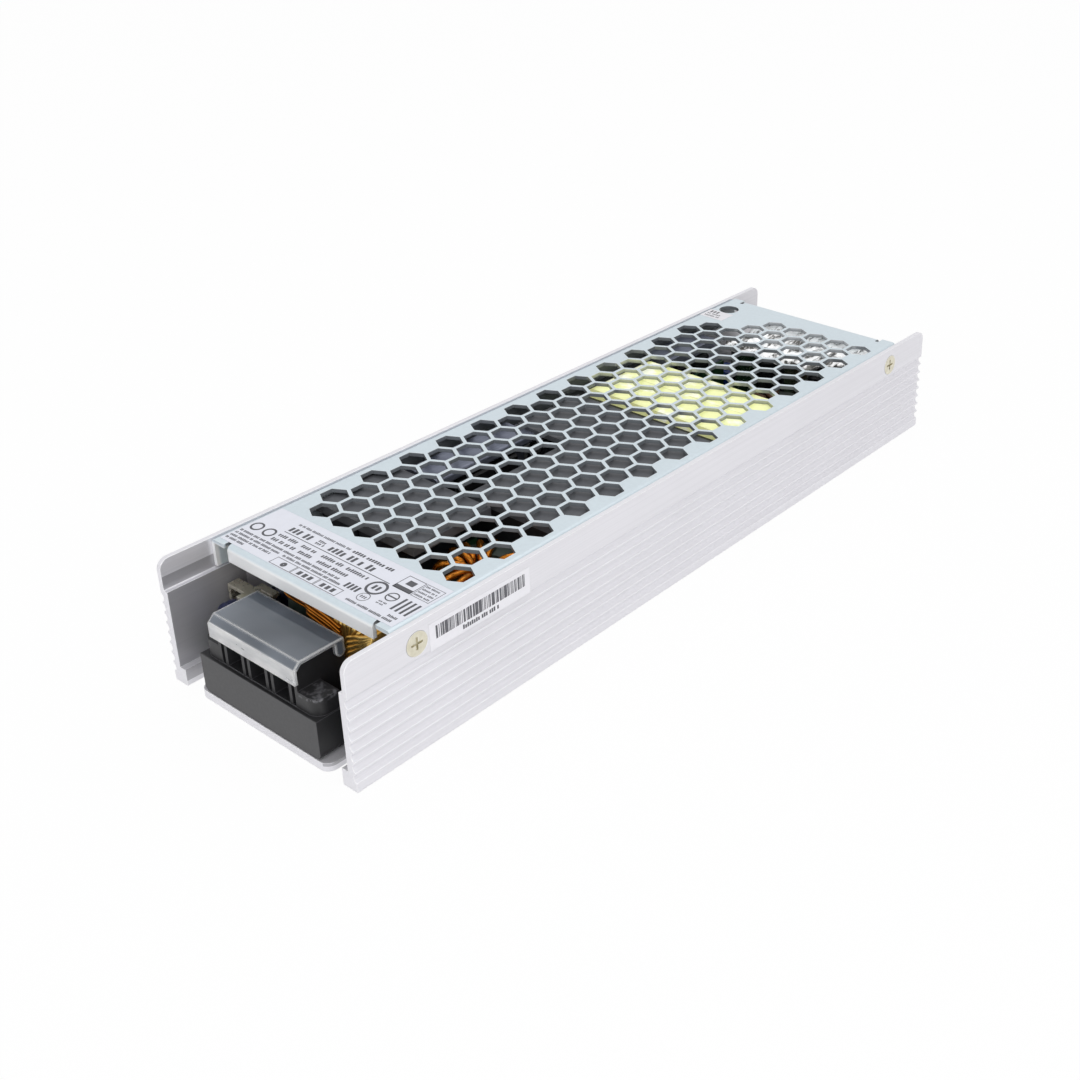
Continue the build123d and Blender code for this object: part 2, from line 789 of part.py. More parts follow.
def earth_strap():
    """Tinned strap that stands by the wall and ends in a fork."""
    y = part_half - strap_t - strap_wall_gap
    x = board_front + strap_x
    top = board_top + disc_lift + 2 * varistor_r + strap_rise + strap_t
    flat_z = (top - strap_t, top)
    tip = y - strap_reach
    strap = block((x - strap_w / 2, x + strap_w / 2), (y, y + strap_t), (board_top, top))
    strap += block((x - strap_w / 2, x + strap_w / 2), (tip, y + strap_t), flat_z)
    fork = block((x - fork_w / 2, x + fork_w / 2), (tip - fork_l + strap_t, tip + strap_t), flat_z)
    slot_y = tip + strap_t - fork_l
    fork -= block((x - fork_gap / 2, x + fork_gap / 2), (slot_y, slot_y + fork_gap_l), flat_z)
    return strap + fork


# Moulded blocks, pads and power devices

def box_capacitor_places():
    pitch = box_capacitor_w + box_capacitor_gap
    return [part_half - box_capacitor_w / 2 - i * pitch for i in (0, 1)]


def box_capacitors():
    """Two moulded mains capacitors side by side."""
    boxes = []
    for y in box_capacitor_places():
        body = Pos(filter_x, y, board_top) * Box(
            box_capacitor_l, box_capacitor_w, parts_h - pad_t, align=LOW)
        boxes.append(fillet(body.edges().filter_by(Axis.Z), box_capacitor_corner_r))
    return group(boxes)


def pfc_fill(low, tall):
    """Block that fits inside the booster choke's box."""
    return Pos(pfc_x, pfc_y, low) * Box(pfc_l - 2 * pfc_wall, pfc_w - 2 * pfc_wall, tall, align=LOW)


def pfc_choke_case():
    """Open box that the booster choke is potted in."""
    tall = parts_h - pad_t
    outside = Pos(pfc_x, pfc_y, board_top) * Box(pfc_l, pfc_w, tall, align=LOW)
    outside = fillet(outside.edges().filter_by(Axis.Z), pfc_corner_r)
    return outside - pfc_fill(board_top + pfc_wall, tall)


def pfc_choke():
    """Wound core set in grey compound that fills the box."""
    return pfc_fill(board_top + pfc_wall, parts_h - pad_t - pfc_wall - pfc_fill_gap)


def primary_heatsink():
    """Aluminium tee rail: upright web between the packages, round-edged flange on top."""
    x = (pfc_x - pfc_l / 2, pfc_x + pfc_l / 2)
    rail = block(x, (sink_y - heatsink_t / 2, sink_y + heatsink_t / 2), (board_top, parts_top))
    flange = block(x, (sink_y - heatsink_w / 2, sink_y + heatsink_w / 2),
                   (parts_top - heatsink_flange_t, parts_top))
    return rail + fillet(flange.edges().filter_by(Axis.X), heatsink_edge_r)


def leaded_package(x, y, size, legs, side):
    """Flat package standing on its legs, its back against a plate at y."""
    wide, thick, tall = size
    low = board_top + package_lift
    body = block((x - wide / 2, x + wide / 2), (-thick, 0), (low, low + tall))
    body = chamfer(body.edges().filter_by(Axis.X).group_by(Axis.Y)[0], package_edge)
    pitch = wide / legs
    leg_y = (-(thick + lead_t) / 2, -(thick - lead_t) / 2)
    for i in range(legs):
        leg_x = x - wide / 2 + pitch * (i + 0.5)
        body += block((leg_x - lead_w / 2, leg_x + lead_w / 2), leg_y, (board_top, low + lead_overlap))
    body = body if side < 0 else mirror(body, Plane.XZ)
    return Pos(0, y, 0) * body


def power_transistors():
    pitch = transistor_w + transistor_gap
    first = pfc_x - (transistor_count - 1) / 2 * pitch
    y = sink_y + heatsink_t / 2
    return group([leaded_package(first + i * pitch, y, transistor_size, 3, 1)
                  for i in range(transistor_count)])


def bridge_rectifier():
    return leaded_package(pfc_x, sink_y - heatsink_t / 2, bridge_size, 4, -1)


def secondary_heatsink():
    """Bent plate beside the output choke that cools the output rectifiers."""
    x = (output_x - output_od / 2, output_x + output_od / 2)
    top = parts_top - secondary_sink_drop
    plate = block(x, (part_half - secondary_sink_t, part_half), (board_top, top))
    return plate + block(x, (part_half - secondary_sink_w, part_half), (top - secondary_sink_t, top))


def output_rectifiers():
    y = part_half - secondary_sink_t
    pitch = rectifier_w + rectifier_gap
    return group([leaded_package(output_x + i * pitch, y, rectifier_size, 3, -1) for i in (-0.5, 0.5)])


def control_board():
    """Small upright card with its chips, between the output choke and the rectifiers."""
    x = (output_x - output_od / 2 + card_inset_x, output_x + output_od / 2 - card_inset_x)
    y = part_half - card_inset_y
    card = block(x, (y, y + card_t), (board_top, board_top + card_h))
    for i in range(chip_count):
        chip_x = (x[0] + x[1]) / 2 + (i - (chip_count - 1) / 2) * chip_pitch
        card += Pos(chip_x, y + card_t + chip_size[1] / 2, board_top + chip_z) * Box(*chip_size, align=LOW)
    return card


def thermal_pads():
    """Grey silicone sheets on the tall parts, just under the cover."""
    top = parts_top + pad_rise
    boxes_y = box_capacitor_places()[-1] - box_capacitor_w / 2
    front = block((filter_x - filter_od / 2, filter_x + filter_od / 2), (boxes_y - pad_reach, part_half),
                  (parts_top - pad_t, top))
    rear = block((pfc_x - pfc_l / 2, pfc_x + pfc_l / 2), (pfc_y - pfc_w / 2, pfc_y + pfc_w / 2),
                 (parts_top - pad_t, top))
    rear += block((bulk_x - bulk_r - zone_gap, bulk_x + bulk_r), (-part_half, bulk_l / 2),
                  (board_top + 2 * bulk_r, top))
    return group([front, rear])


# Capacitor cans and busbars

def can(radius, tall, crimped):
    """Electrolytic can with bevelled ends, and a crimp groove on a large one."""
    edge = radius - can_edge
    outline = [(0, 0), (edge, 0), (radius, can_edge)]
    if crimped:
        crimp = tall - crimp_inset
        outline += [(radius, crimp - crimp_half), (radius - crimp_depth, crimp), (radius, crimp + crimp_half)]
    outline += [(radius, tall - can_edge), (edge, tall), (0, tall)]
    return revolve(Plane.XZ * make_face(Polyline(*outline, close=True)), Axis.Z)


def bulk_capacitor():
    """High-voltage capacitor lying across the case."""
    place = Pos(bulk_x, -bulk_l / 2, board_top + bulk_r) * Rot(-90, 0, 0)
    return place * can(bulk_r, bulk_l, True)


def output_capacitors():
    """Two rows of upright cans."""
    cans = []
    for side in (-0.5, 0.5):
        for row in range(output_can_rows):
            place = Pos(can_x + side * output_can_pitch,
                        (row - (output_can_rows - 1) / 2) * output_can_pitch, board_top)
            cans.append(place * can(output_can_r, output_can_h, False))
    return group(cans)


def output_busbars():
    """Two tinned bars over the output capacitors, down to the board at both ends."""
    bars = []
    low = board_top + output_can_h + busbar_lift
    ends = (can_x - can_zone / 2, can_x + can_zone / 2)
    for y in (-output_can_pitch, output_can_pitch):
        side = (y - busbar_w / 2, y + busbar_w / 2)
        bar = block(ends, side, (board_top, low + busbar_t))
        bars.append(bar - block((ends[0] + busbar_t, ends[1] - busbar_t), side, (board_top, low)))
    return group(bars)


def output_film():
    """Clear film folded like a bridge that stands on the busbars, just under the cover."""
    low = board_top + output_can_h + busbar_lift + busbar_t
    top = parts_top + pad_rise
    x = (can_x - can_zone / 2, can_x + can_zone / 2)
    film = block((x[0] - film_inset_x, x[1]), (-film_leg_half - film_overhang, film_leg_half),
                 (top - film_t, top))
    for leg_x in (x[0] + film_inset_x, x[1] - film_inset_x - film_t):
        film += block((leg_x, leg_x + film_t), (-film_leg_half, film_leg_half), (low, top))
    return film


# Transformer

def transformer_core():
    """Two flat E halves that meet at the middle, round the winding."""
    x = (transformer_x - transformer_l / 2, transformer_x + transformer_l / 2)
    z = (board_top + transformer_core_lift, board_top + transformer_core_lift + transformer_core_h)
    inner = coil_w / 2 + transformer_fit
    outer = inner + transformer_side_t
    leg_z = ((z[0] + z[1] - transformer_leg_h) / 2, (z[0] + z[1] + transformer_leg_h) / 2)
    window_x = (x[0] + transformer_core_t, x[1] - transformer_core_t)
    core = block(x, (-outer, outer), z) - block(window_x, (-inner, inner), z)
    core += block(window_x, (-transformer_leg_w / 2, transformer_leg_w / 2), leg_z)
    gap = transformer_half_gap / 2
    core -= block((transformer_x - gap, transformer_x + gap), (-outer, outer), z)
    return group([core])


def transformer_winding():
    """Taped winding wrapped round the middle leg, close under the cover."""
    x = (transformer_x - coil_l / 2 + transformer_fit, transformer_x + coil_l / 2 - transformer_fit)
    coil = block(x, (-coil_w / 2, coil_w / 2), (board_top + carrier_t, parts_top + coil_rise))
    coil = fillet(coil.edges().filter_by(Axis.X), coil_round_r)
    core_top = board_top + transformer_core_lift + transformer_core_h
    tape = block(x, (-coil_w / 2 - transformer_fit - transformer_side_t, 0),
                 (core_top + leg_fit, parts_top + coil_rise))
    coil += fillet(tape.edges().filter_by(Axis.X).group_by(Axis.Y)[0], tape_round_r)
    middle = board_top + transformer_core_lift + transformer_core_h / 2
    leg_y = transformer_leg_w / 2 + leg_fit
    leg_z = transformer_leg_h / 2 + leg_fit
    return coil - block(x, (-leg_y, leg_y), (middle - leg_z, middle + leg_z))


def transformer_base():
    """Pin carrier under the winding."""
    x = (transformer_x - coil_l / 2 + transformer_fit, transformer_x + coil_l / 2 - transformer_fit)
    return block(x, (-coil_w / 2, coil_w / 2), (board_top, board_top + carrier_t))


# Trimmer, lamp and signal socket

def trimmer_body():
    body = Pos(adjuster_x, adjuster_y, board_top) * Box(trimmer_size, trimmer_size, trimmer_h, align=LOW)
    body = chamfer(body.edges().filter_by(Axis.Z), trimmer_corner)
    return body - upright(adjuster_x, adjuster_y, board_top + trimmer_h - rotor_pocket,
                          rotor_r + rotor_play, 2 * rotor_pocket)


def trimmer_rotor():
    """Slotted disc that a screwdriver turns from above."""
    low = board_top + trimmer_h - rotor_pocket + rotor_play
    rotor = upright(adjuster_x, adjuster_y, low, rotor_r, rotor_t)
    slot = Box(3 * rotor_r, rotor_slot_w, 2 * rotor_slot_depth)
    return rotor - Pos(adjuster_x, adjuster_y, low + rotor_t) * slot


def indicator_led():
    """Round lamp on two leads, with a flange at its foot."""
    x = board_rear - led_inset_x
    y = led_inset_y - board_half
    low = board_top + led_lift
    lamp = upright(x, y, low, led_r, led_h)
    lamp = chamfer(lamp.edges().group_by(Axis.Z)[-1], led_r / 2)
    lamp += upright(x, y, low - led_flange_t, led_r + led_flange, led_flange_t)
    half = lead_t / 2
    for side in (-led_lead_pitch / 2, led_lead_pitch / 2):
        lamp += block((x + side - half, x + side + half), (y - half, y + half), (board_top, low))
    return lamp


def header_place():
    return board_rear - header_l / 2 - header_end_gap, board_half - header_w / 2 - header_side_gap


def signal_header():
    """Two-pin shroud for the status signal, open towards the output end."""
    x, y = header_place()
    shroud = Pos(x, y, board_top) * Box(header_l, header_w, header_h, align=LOW)
    hollow = Box(header_l, header_w - 2 * header_wall, header_h, align=LOW)
    return shroud - Pos(x + header_wall, y, board_top + header_floor) * hollow


def signal_pins():
    x, y = header_place()
    pin = Box(pin_t, pin_t, pin_h, align=LOW)
    return group([Pos(x + side * pin_pitch, y, board_top + header_floor) * pin for side in (-0.5, 0.5)])


line_cores, line_coils = line_chokes()
filter_core, filter_coil = flat_choke(
    filter_x, filter_wall_gap, (filter_od, filter_core_w, filter_core_t, filter_wire), filter_turns)
output_core, output_coil = flat_choke(
    output_x, output_wall_gap, (output_od, output_core_w, output_core_t, output_wire), output_turns)

nodes = {
    "case_extrusion": case_extrusion(),
    "top_cover": top_cover(),
    "cover_screws": cover_screws(),
    "insulating_sheet": insulating_sheet(),
    "board_standoffs": board_standoffs(),
    "board_screws": board_screws(),
    "circuit_board": circuit_board(),
    "input_terminal_body": terminal_body(input_poles, input_half, input_shoulder, -1, True),
    "input_terminal_contacts": terminal_contacts(input_poles, -1),
    "input_terminal_clamps": terminal_clamps(input_poles, -1),
    "input_terminal_screws": terminal_screws(input_poles, -1),
    "input_terminal_lid": input_terminal_lid(),
    "output_terminal_body": terminal_body(output_poles, output_half, output_shoulder, 1, False),
    "output_terminal_contacts": terminal_contacts(output_poles, 1),
    "output_terminal_clamps": terminal_clamps(output_poles, 1),
    "output_terminal_screws": terminal_screws(output_poles, 1),
    "input_fuse": input_fuse(),
    "varistor": varistor(),
    "inrush_thermistor": inrush_thermistor(),
    "y_capacitors": y_capacitors(),
    "earth_strap": earth_strap(),
    "line_choke_cores": line_cores,
    "line_choke_windings": line_coils,
    "filter_choke_core": filter_core,
    "filter_choke_winding": filter_coil,
    "box_capacitors": box_capacitors(),
    "pfc_choke_case": pfc_choke_case(),
    "pfc_choke": pfc_choke(),
    "primary_heatsink": primary_heatsink(),
    "bridge_rectifier": bridge_rectifier(),
    "power_transistors": power_transistors(),
    "bulk_capacitor": bulk_capacitor(),
    "transformer_core": transformer_core(),
    "transformer_base": transformer_base(),
    "transformer_winding": transformer_winding(),
    "secondary_heatsink": secondary_heatsink(),
    "output_rectifiers": output_rectifiers(),
    "control_board": control_board(),
    "output_choke_core": output_core,
    "output_choke_winding": output_coil,
    "output_capacitors": output_capacitors(),
    "output_busbars": output_busbars(),
    "output_film": output_film(),
    "thermal_pads": thermal_pads(),
    "trimmer_body": trimmer_body(),
    "trimmer_rotor": trimmer_rotor(),
    "indicator_led": indicator_led(),
    "signal_header": signal_header(),
    "signal_pins": signal_pins(),
}

os.makedirs("parts", exist_ok=True)
for name, shape in nodes.items():
    export_step(shape, f"parts/{name}.step")
print(len(nodes), "nodes written")
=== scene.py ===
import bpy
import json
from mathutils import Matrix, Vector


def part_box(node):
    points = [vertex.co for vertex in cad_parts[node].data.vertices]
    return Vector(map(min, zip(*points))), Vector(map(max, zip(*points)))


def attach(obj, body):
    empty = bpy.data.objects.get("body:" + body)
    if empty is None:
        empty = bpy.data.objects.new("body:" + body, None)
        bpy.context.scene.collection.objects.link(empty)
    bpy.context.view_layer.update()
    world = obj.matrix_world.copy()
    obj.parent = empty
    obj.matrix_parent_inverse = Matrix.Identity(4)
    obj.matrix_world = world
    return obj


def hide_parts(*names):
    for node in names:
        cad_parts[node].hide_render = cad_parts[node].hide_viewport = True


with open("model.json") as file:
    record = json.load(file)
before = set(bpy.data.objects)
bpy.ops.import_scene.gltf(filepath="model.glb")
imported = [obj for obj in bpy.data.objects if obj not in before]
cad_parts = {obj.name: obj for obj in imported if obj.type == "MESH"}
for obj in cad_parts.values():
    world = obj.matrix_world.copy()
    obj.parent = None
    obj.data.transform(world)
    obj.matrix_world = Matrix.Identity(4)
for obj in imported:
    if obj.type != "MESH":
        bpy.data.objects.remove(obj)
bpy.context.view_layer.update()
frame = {"nodes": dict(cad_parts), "record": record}

import json
from math import cos, pi, radians, sin

import bpy
import numpy as np
from bpy.props import FloatProperty, FloatVectorProperty, IntProperty, PointerProperty
from mathutils import Matrix, Vector

bl_info = {
    "name": "Slim Power Supply",
    "version": (1, 0, 0),
    "blender": (4, 5, 0),
    "location": "View3D > Sidebar > Power Supply",
    "description": "Finishes, windings, labels and stage for a slim enclosed power supply",
    "category": "Object",
}

MM = 0.001
WHITE = (1.0, 1.0, 1.0, 1.0)


# Sizes and colours that a user would change

def length(name, description, millimetres):
    """Property of a size, given in millimetres and kept in metres."""
    return FloatProperty(name=name, description=description, default=millimetres * MM, unit="LENGTH",
                         precision=5)


def colour(name, description, code):
    """Property of a colour, given as six hexadecimal digits."""
    return FloatVectorProperty(name=name, description=description, default=tone(code)[:3], size=3,
                               subtype="COLOR", min=0.0, max=1.0)


def tone(code):
    """Linear colour of six hexadecimal digits; a colour that is linear already is kept."""
    if not isinstance(code, str):
        return (code[0], code[1], code[2], 1.0)
    parts = [int(code[i:i + 2], 16) / 255 for i in (0, 2, 4)]
    return tuple(c / 12.92 if c <= 0.04045 else ((c + 0.055) / 1.055) ** 2.4 for c in parts) + (1.0,)


class SupplyColours(bpy.types.PropertyGroup):
    case: colour("Case", "Brushed aluminium of the case", "E8E7EC")
    cover: colour("Cover", "Sheet of the pierced cover", "D3DFE6")
    tape: colour("Tape", "Tape round the transformer", "FAFCB4")
    orange: colour("Orange wire", "Enamel of the filter and line chokes", "D98527")
    gold: colour("Gold wire", "Enamel of the choke that faces the end, and its leads", "EBC772")
    brown: colour("Brown wire", "Enamel of the output choke", "5A3A20")
    paper: colour("Paper", "Rating label", "E9EBF5")
    ink: colour("Ink", "Print of the rating label", "515259")


class SupplyStage(bpy.types.PropertyGroup):
    azimuth: FloatProperty(name="Azimuth", description="Turn of the view about the upright axis",
                           default=radians(-51.416), subtype="ANGLE")
    elevation: FloatProperty(name="Elevation", description="Height of the view above the horizon",
                             default=radians(26.084), subtype="ANGLE")
    roll: FloatProperty(name="Roll", description="Turn of the view about its own axis",
                        default=radians(0.181), subtype="ANGLE")
    distance: length("Distance", "From the camera to the point it looks at", 401.53)
    lens: FloatProperty(name="Lens", description="Focal length in millimetres", default=48.12)
    ambient: FloatProperty(name="Ambient", description="Strength of the light from all round", default=0.62)
    key_power: FloatProperty(name="Key power", description="Power of the main lamp in watts", default=2.05)
    fill_power: FloatProperty(name="Fill power", description="Power of the lamp overhead in watts",
                              default=1.6)


class SupplyWindings(bpy.types.PropertyGroup):
    rolling_width: length("Rolling choke width", "Width over the wire of the choke that stands crosswise",
                          12.2)
    rolling_core: length("Rolling core wall", "Thickness of that choke's ring core", 4.0)
    rolling_turns: IntProperty(name="Rolling choke turns", description="Turns in each half", default=7)
    strand: length("Strand", "Diameter of one of its three strands", 0.55)
    facing_size: length("Facing choke size", "Diameter over the wire of the choke that faces the end", 18.0)
    facing_width: length("Facing choke width", "Width over the wire", 17.2)
    facing_core: length("Facing core wall", "Thickness of that choke's ring core", 3.4)
    facing_turns: IntProperty(name="Facing choke turns", description="Turns all round", default=28)
    facing_wire: length("Facing wire", "Diameter of its single wire", 1.35)
    lead_wire: length("Lead wire", "Diameter of the line chokes' leads", 0.95)
    filter_wire: length("Filter wire", "Diameter of the filter choke's wire", 1.6)
    filter_core: length("Filter core wall", "Thickness of the filter choke's ring core", 5.0)
    filter_turns: IntProperty(name="Filter turns", description="Turns of the filter choke", default=16)
    output_wire: length("Output wire", "Diameter of the output choke's wire", 1.9)
    output_core: length("Output core wall", "Thickness of the output choke's ring core", 4.4)
    output_turns: IntProperty(name="Output turns", description="Turns of the output choke", default=11)


class SupplyLabels(bpy.types.PropertyGroup):
    bend: length("Bend", "From the cover's edge to where its flat top starts", 1.4)
    depth: length("Label depth", "Size of the rating label along the case", 17.0)
    thickness: length("Label thickness", "Thickness of the rating label", 0.06)
    ink_thickness: length("Ink thickness", "Thickness of the print", 0.02)
    sticker_thickness: length("Sticker thickness", "Thickness of the small stickers", 0.025)


def colours():
    """Colours that the user has chosen."""
    return bpy.context.scene.supply_colours


# Node trees

def feed(tree, socket, value):
    """Links a value that is another socket, and sets any other."""
    if isinstance(value, bpy.types.NodeSocket):
        tree.links.new(value, socket)
    else:
        socket.default_value = value


def fill(sockets, **values):
    """Sets plain values on named sockets."""
    for name, value in values.items():
        sockets[name.replace("_", " ")].default_value = value


def add(tree, kind, **sockets):
    """Adds a node and feeds its named input sockets."""
    node = tree.nodes.new(kind)
    for name, value in sockets.items():
        feed(tree, node.inputs[name.replace("_", " ")], value)
    return node


def math_node(tree, operation, *values, clamp=False):
    """Result of a Math node on sockets and numbers."""
    node = tree.nodes.new("ShaderNodeMath")
    node.operation = operation
    node.use_clamp = clamp
    for socket, value in zip(node.inputs, values):
        feed(tree, socket, value)
    return node.outputs[0]


def vector_node(tree, operation, first, second):
    """Outputs of a Vector Math node on two vectors."""
    node = tree.nodes.new("ShaderNodeVectorMath")
    node.operation = operation
    feed(tree, node.inputs[0], first)
    feed(tree, node.inputs[1], second)
    return node.outputs


def times(tree, *values):
    """Product of masks and numbers, multiplied in their order."""
    product = values[0]
    for value in values[1:]:
        product = math_node(tree, "MULTIPLY", product, value)
    return product


def blend_colour(tree, mask, first, second):
    """First colour where a mask is 0, second where it is 1."""
    node = tree.nodes.new("ShaderNodeMix")
    node.data_type = "RGBA"
    # A Mix node has its factor at input 0, its two colours at 6 and 7, and the result at output 2
    for index, value in ((0, mask), (6, first), (7, second)):
        feed(tree, node.inputs[index], value)
    return node.outputs[2]


def spread_value(tree, value, low, high, to_low=0.0, to_high=1.0):
    """Carries the range from low to high over to another range, and holds it at the ends."""
    node = add(tree, "ShaderNodeMapRange", Value=value, From_Min=low, From_Max=high, To_Min=to_low,
               To_Max=to_high)
    return node.outputs[0]


def place_in_object(tree):
    return add(tree, "ShaderNodeTexCoord").outputs["Object"]


def coordinate(tree, kind, axis):
    """One axis of the Object or Normal coordinates."""
    vector = add(tree, "ShaderNodeTexCoord").outputs[kind]
    return add(tree, "ShaderNodeSeparateXYZ", Vector=vector).outputs[axis]


def seen_directly(tree):
    """1 where the camera, a mirror or glass sees a surface, 0 where it only gives light."""
    path = tree.nodes.new("ShaderNodeLightPath").outputs
    seen = math_node(tree, "MAXIMUM", path["Is Camera Ray"], path["Is Transmission Ray"])
    return math_node(tree, "MAXIMUM", seen, path["Is Glossy Ray"])


# Shared effects

def new_group(name, inputs, outputs):
    """An empty shader group, with the sockets that it is given and those that it makes."""
    tree = bpy.data.node_groups.new(name, "ShaderNodeTree")
    for label, kind, default in inputs:
        tree.interface.new_socket(name=label, in_out="INPUT", socket_type=kind).default_value = default
    for label, kind in outputs:
        tree.interface.new_socket(name=label, in_out="OUTPUT", socket_type=kind)
    return tree, tree.nodes.new("NodeGroupInput").outputs, tree.nodes.new("NodeGroupOutput").inputs


def grain_group():
    """Noise in object space, stretched by its own scale on each axis, and a broad cloud."""
    tree, given, made = new_group(
        "Grain", [("Stretch", "NodeSocketVector", (500.0, 500.0, 500.0)), ("Detail", "NodeSocketFloat", 3.0)],
        [("Grain", "NodeSocketFloat"), ("Cloud", "NodeSocketFloat")])
    place = place_in_object(tree)
    mapped = add(tree, "ShaderNodeMapping", Vector=place, Scale=given["Stretch"]).outputs[0]
    fine = add(tree, "ShaderNodeTexNoise", Vector=mapped, Scale=1.0, Detail=given["Detail"], Roughness=0.6)
    broad = add(tree, "ShaderNodeTexNoise", Vector=place, Scale=45.0, Detail=2.0)
    tree.links.new(fine.outputs[0], made["Grain"])
    tree.links.new(broad.outputs[0], made["Cloud"])


def edge_group():
    """Normal rounded over the edges, and a mask that is 1 along them."""
    tree, given, made = new_group(
        "Soft Edge", [("Radius", "NodeSocketFloat", 0.0002)],
        [("Edge", "NodeSocketFloat"), ("Normal", "NodeSocketVector")])
    bevel = add(tree, "ShaderNodeBevel", Radius=given["Radius"])
    bevel.samples = 6
    flat = add(tree, "ShaderNodeNewGeometry").outputs["True Normal"]
    likeness = vector_node(tree, "DOT_PRODUCT", bevel.outputs[0], flat)["Value"]
    tree.links.new(spread_value(tree, likeness, 0.998, 0.93), made["Edge"])
    tree.links.new(bevel.outputs[0], made["Normal"])


def box_mask_group():
    """Mask that is 1 inside a box in object space and falls to 0 over a margin just within its faces."""
    tree, given, made = new_group(
        "Box Mask",
        [("Low", "NodeSocketVector", (-1.0, -1.0, -1.0)), ("High", "NodeSocketVector", (1.0, 1.0, 1.0)),
         ("Margin", "NodeSocketFloat", 0.0001)], [("Mask", "NodeSocketFloat")])
    place = place_in_object(tree)
    depths = []
    for inner, outer in ((place, given["Low"]), (given["High"], place)):
        gap = vector_node(tree, "SUBTRACT", inner, outer)["Vector"]
        depths += list(add(tree, "ShaderNodeSeparateXYZ", Vector=gap).outputs)
    nearest = depths[0]
    for depth in depths[1:]:
        nearest = math_node(tree, "MINIMUM", nearest, depth)
    tree.links.new(math_node(tree, "DIVIDE", nearest, given["Margin"], clamp=True), made["Mask"])


def use_group(tree, name, **sockets):
    """Outputs of a shared group, placed in a material with its own values."""
    node = tree.nodes.new("ShaderNodeGroup")
    node.node_tree = bpy.data.node_groups[name]
    fill(node.inputs, **sockets)
    return node.outputs


def box_mask(tree, low, high, **margin):
    return use_group(tree, "Box Mask", Low=low, High=high, **margin)["Mask"]


def upright_mask(tree):
    """1 on faces that stand upright, 0 on level ones."""
    return math_node(tree, "LESS_THAN", math_node(tree, "ABSOLUTE", coordinate(tree, "Normal", "Z")), 0.5)


# Materials

def new_material(name):
    """A material, its node tree and the input sockets of its Principled shader."""
    material = bpy.data.materials.new(name)
    material.use_nodes = True
    return material, material.node_tree, shader_of(material.node_tree)


def shader_of(tree):
    return tree.nodes["Principled BSDF"].inputs


def emboss(tree, height, strength, depth, **over):
    """Relief of a height on the shader's normal, over a rounded normal where one is given."""
    bump = add(tree, "ShaderNodeBump", Strength=strength, Distance=depth, Height=height, **over)
    tree.links.new(bump.outputs[0], shader_of(tree)["Normal"])


def repaint(tree, code, *masks):
    """Lays another colour over a finish where the product of the masks is 1."""
    base = shader_of(tree)["Base Color"]
    tree.links.new(blend_colour(tree, times(tree, *masks), base.links[0].from_socket, tone(code)), base)


def painted_glow(tree, strength):
    """Painted glow: lets a finish give a little light of its own colour, though it is no lamp."""
    shader = shader_of(tree)
    tree.links.new(shader["Base Color"].links[0].from_socket, shader["Emission Color"])
    shader["Emission Strength"].default_value = strength


def finish(name, dark, light, metallic=0.0, rough=(0.4, 0.5), stretch=(700, 700, 700), bump=0.1,
           bump_depth=0.00002, edge=None, edge_radius=0.00015, edge_highlight_share=0.6, **constants):
    """A finish whose colour and roughness follow a stretched grain, with another colour painted along its
    edges as a highlight. The dark colour may be a share of the light one."""
    material, tree, shader = new_material(name)
    grain = use_group(tree, "Grain", Stretch=stretch)
    soft = use_group(tree, "Soft Edge", Radius=edge_radius)
    mask = spread_value(tree, grain["Grain"], 0.3, 0.7)
    mottled = math_node(tree, "MULTIPLY_ADD", grain["Cloud"], 0.5, times(tree, mask, 0.5))
    light = tone(light)
    dark = tone(dark) if isinstance(dark, str) else tone([c * dark for c in light])
    base = blend_colour(tree, mottled, dark, light)
    # The edge colour is a painted highlight along the rounded edges
    if edge:
        base = blend_colour(tree, times(tree, soft["Edge"], edge_highlight_share), base, tone(edge))
    tree.links.new(base, shader["Base Color"])
    tree.links.new(spread_value(tree, mottled, 0.0, 1.0, *rough), shader["Roughness"])
    emboss(tree, grain["Grain"], bump, bump_depth, Normal=soft["Normal"])
    fill(shader, Metallic=metallic, **constants)
    return material


def lid_finish():
    """Clear moulded plastic, polished on top and frosted down the front lip, with a painted white highlight
    along its edges.
    """
    material, tree, shader = new_material("Clear plastic")
    low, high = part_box("input_terminal_lid")
    grain = use_group(tree, "Grain", Stretch=(420.0, 90.0, 260.0))
    soft = use_group(tree, "Soft Edge", Radius=0.0009)
    lip = box_mask(tree, (low.x - MM, low.y - MM, low.z - MM),
                   (low.x + 1.2 * MM, high.y + MM, high.z - 1.3 * MM), Margin=0.0002)
    milky = times(tree, lip, spread_value(tree, grain["Grain"], 0.35, 0.65, 0.55, 1.0))
    # The milky lip is the plastic's own; the white along its edges is a painted highlight
    frost_and_edge_highlight = math_node(tree, "MAXIMUM", milky, soft["Edge"])
    tint = blend_colour(tree, spread_value(tree, grain["Cloud"], 0.35, 0.65), tone("626973"), tone("8B939E"))
    tree.links.new(blend_colour(tree, frost_and_edge_highlight, tint, WHITE), shader["Base Color"])
    polish = spread_value(tree, grain["Cloud"], 0.3, 0.7, 0.02, 0.06)
    tree.links.new(math_node(tree, "MULTIPLY_ADD", frost_and_edge_highlight, 0.4, polish), shader["Roughness"])
    emboss(tree, grain["Grain"], 0.04, 0.00005, Normal=soft["Normal"])
    fill(shader, Transmission_Weight=0.42, IOR=1.45)
    return material


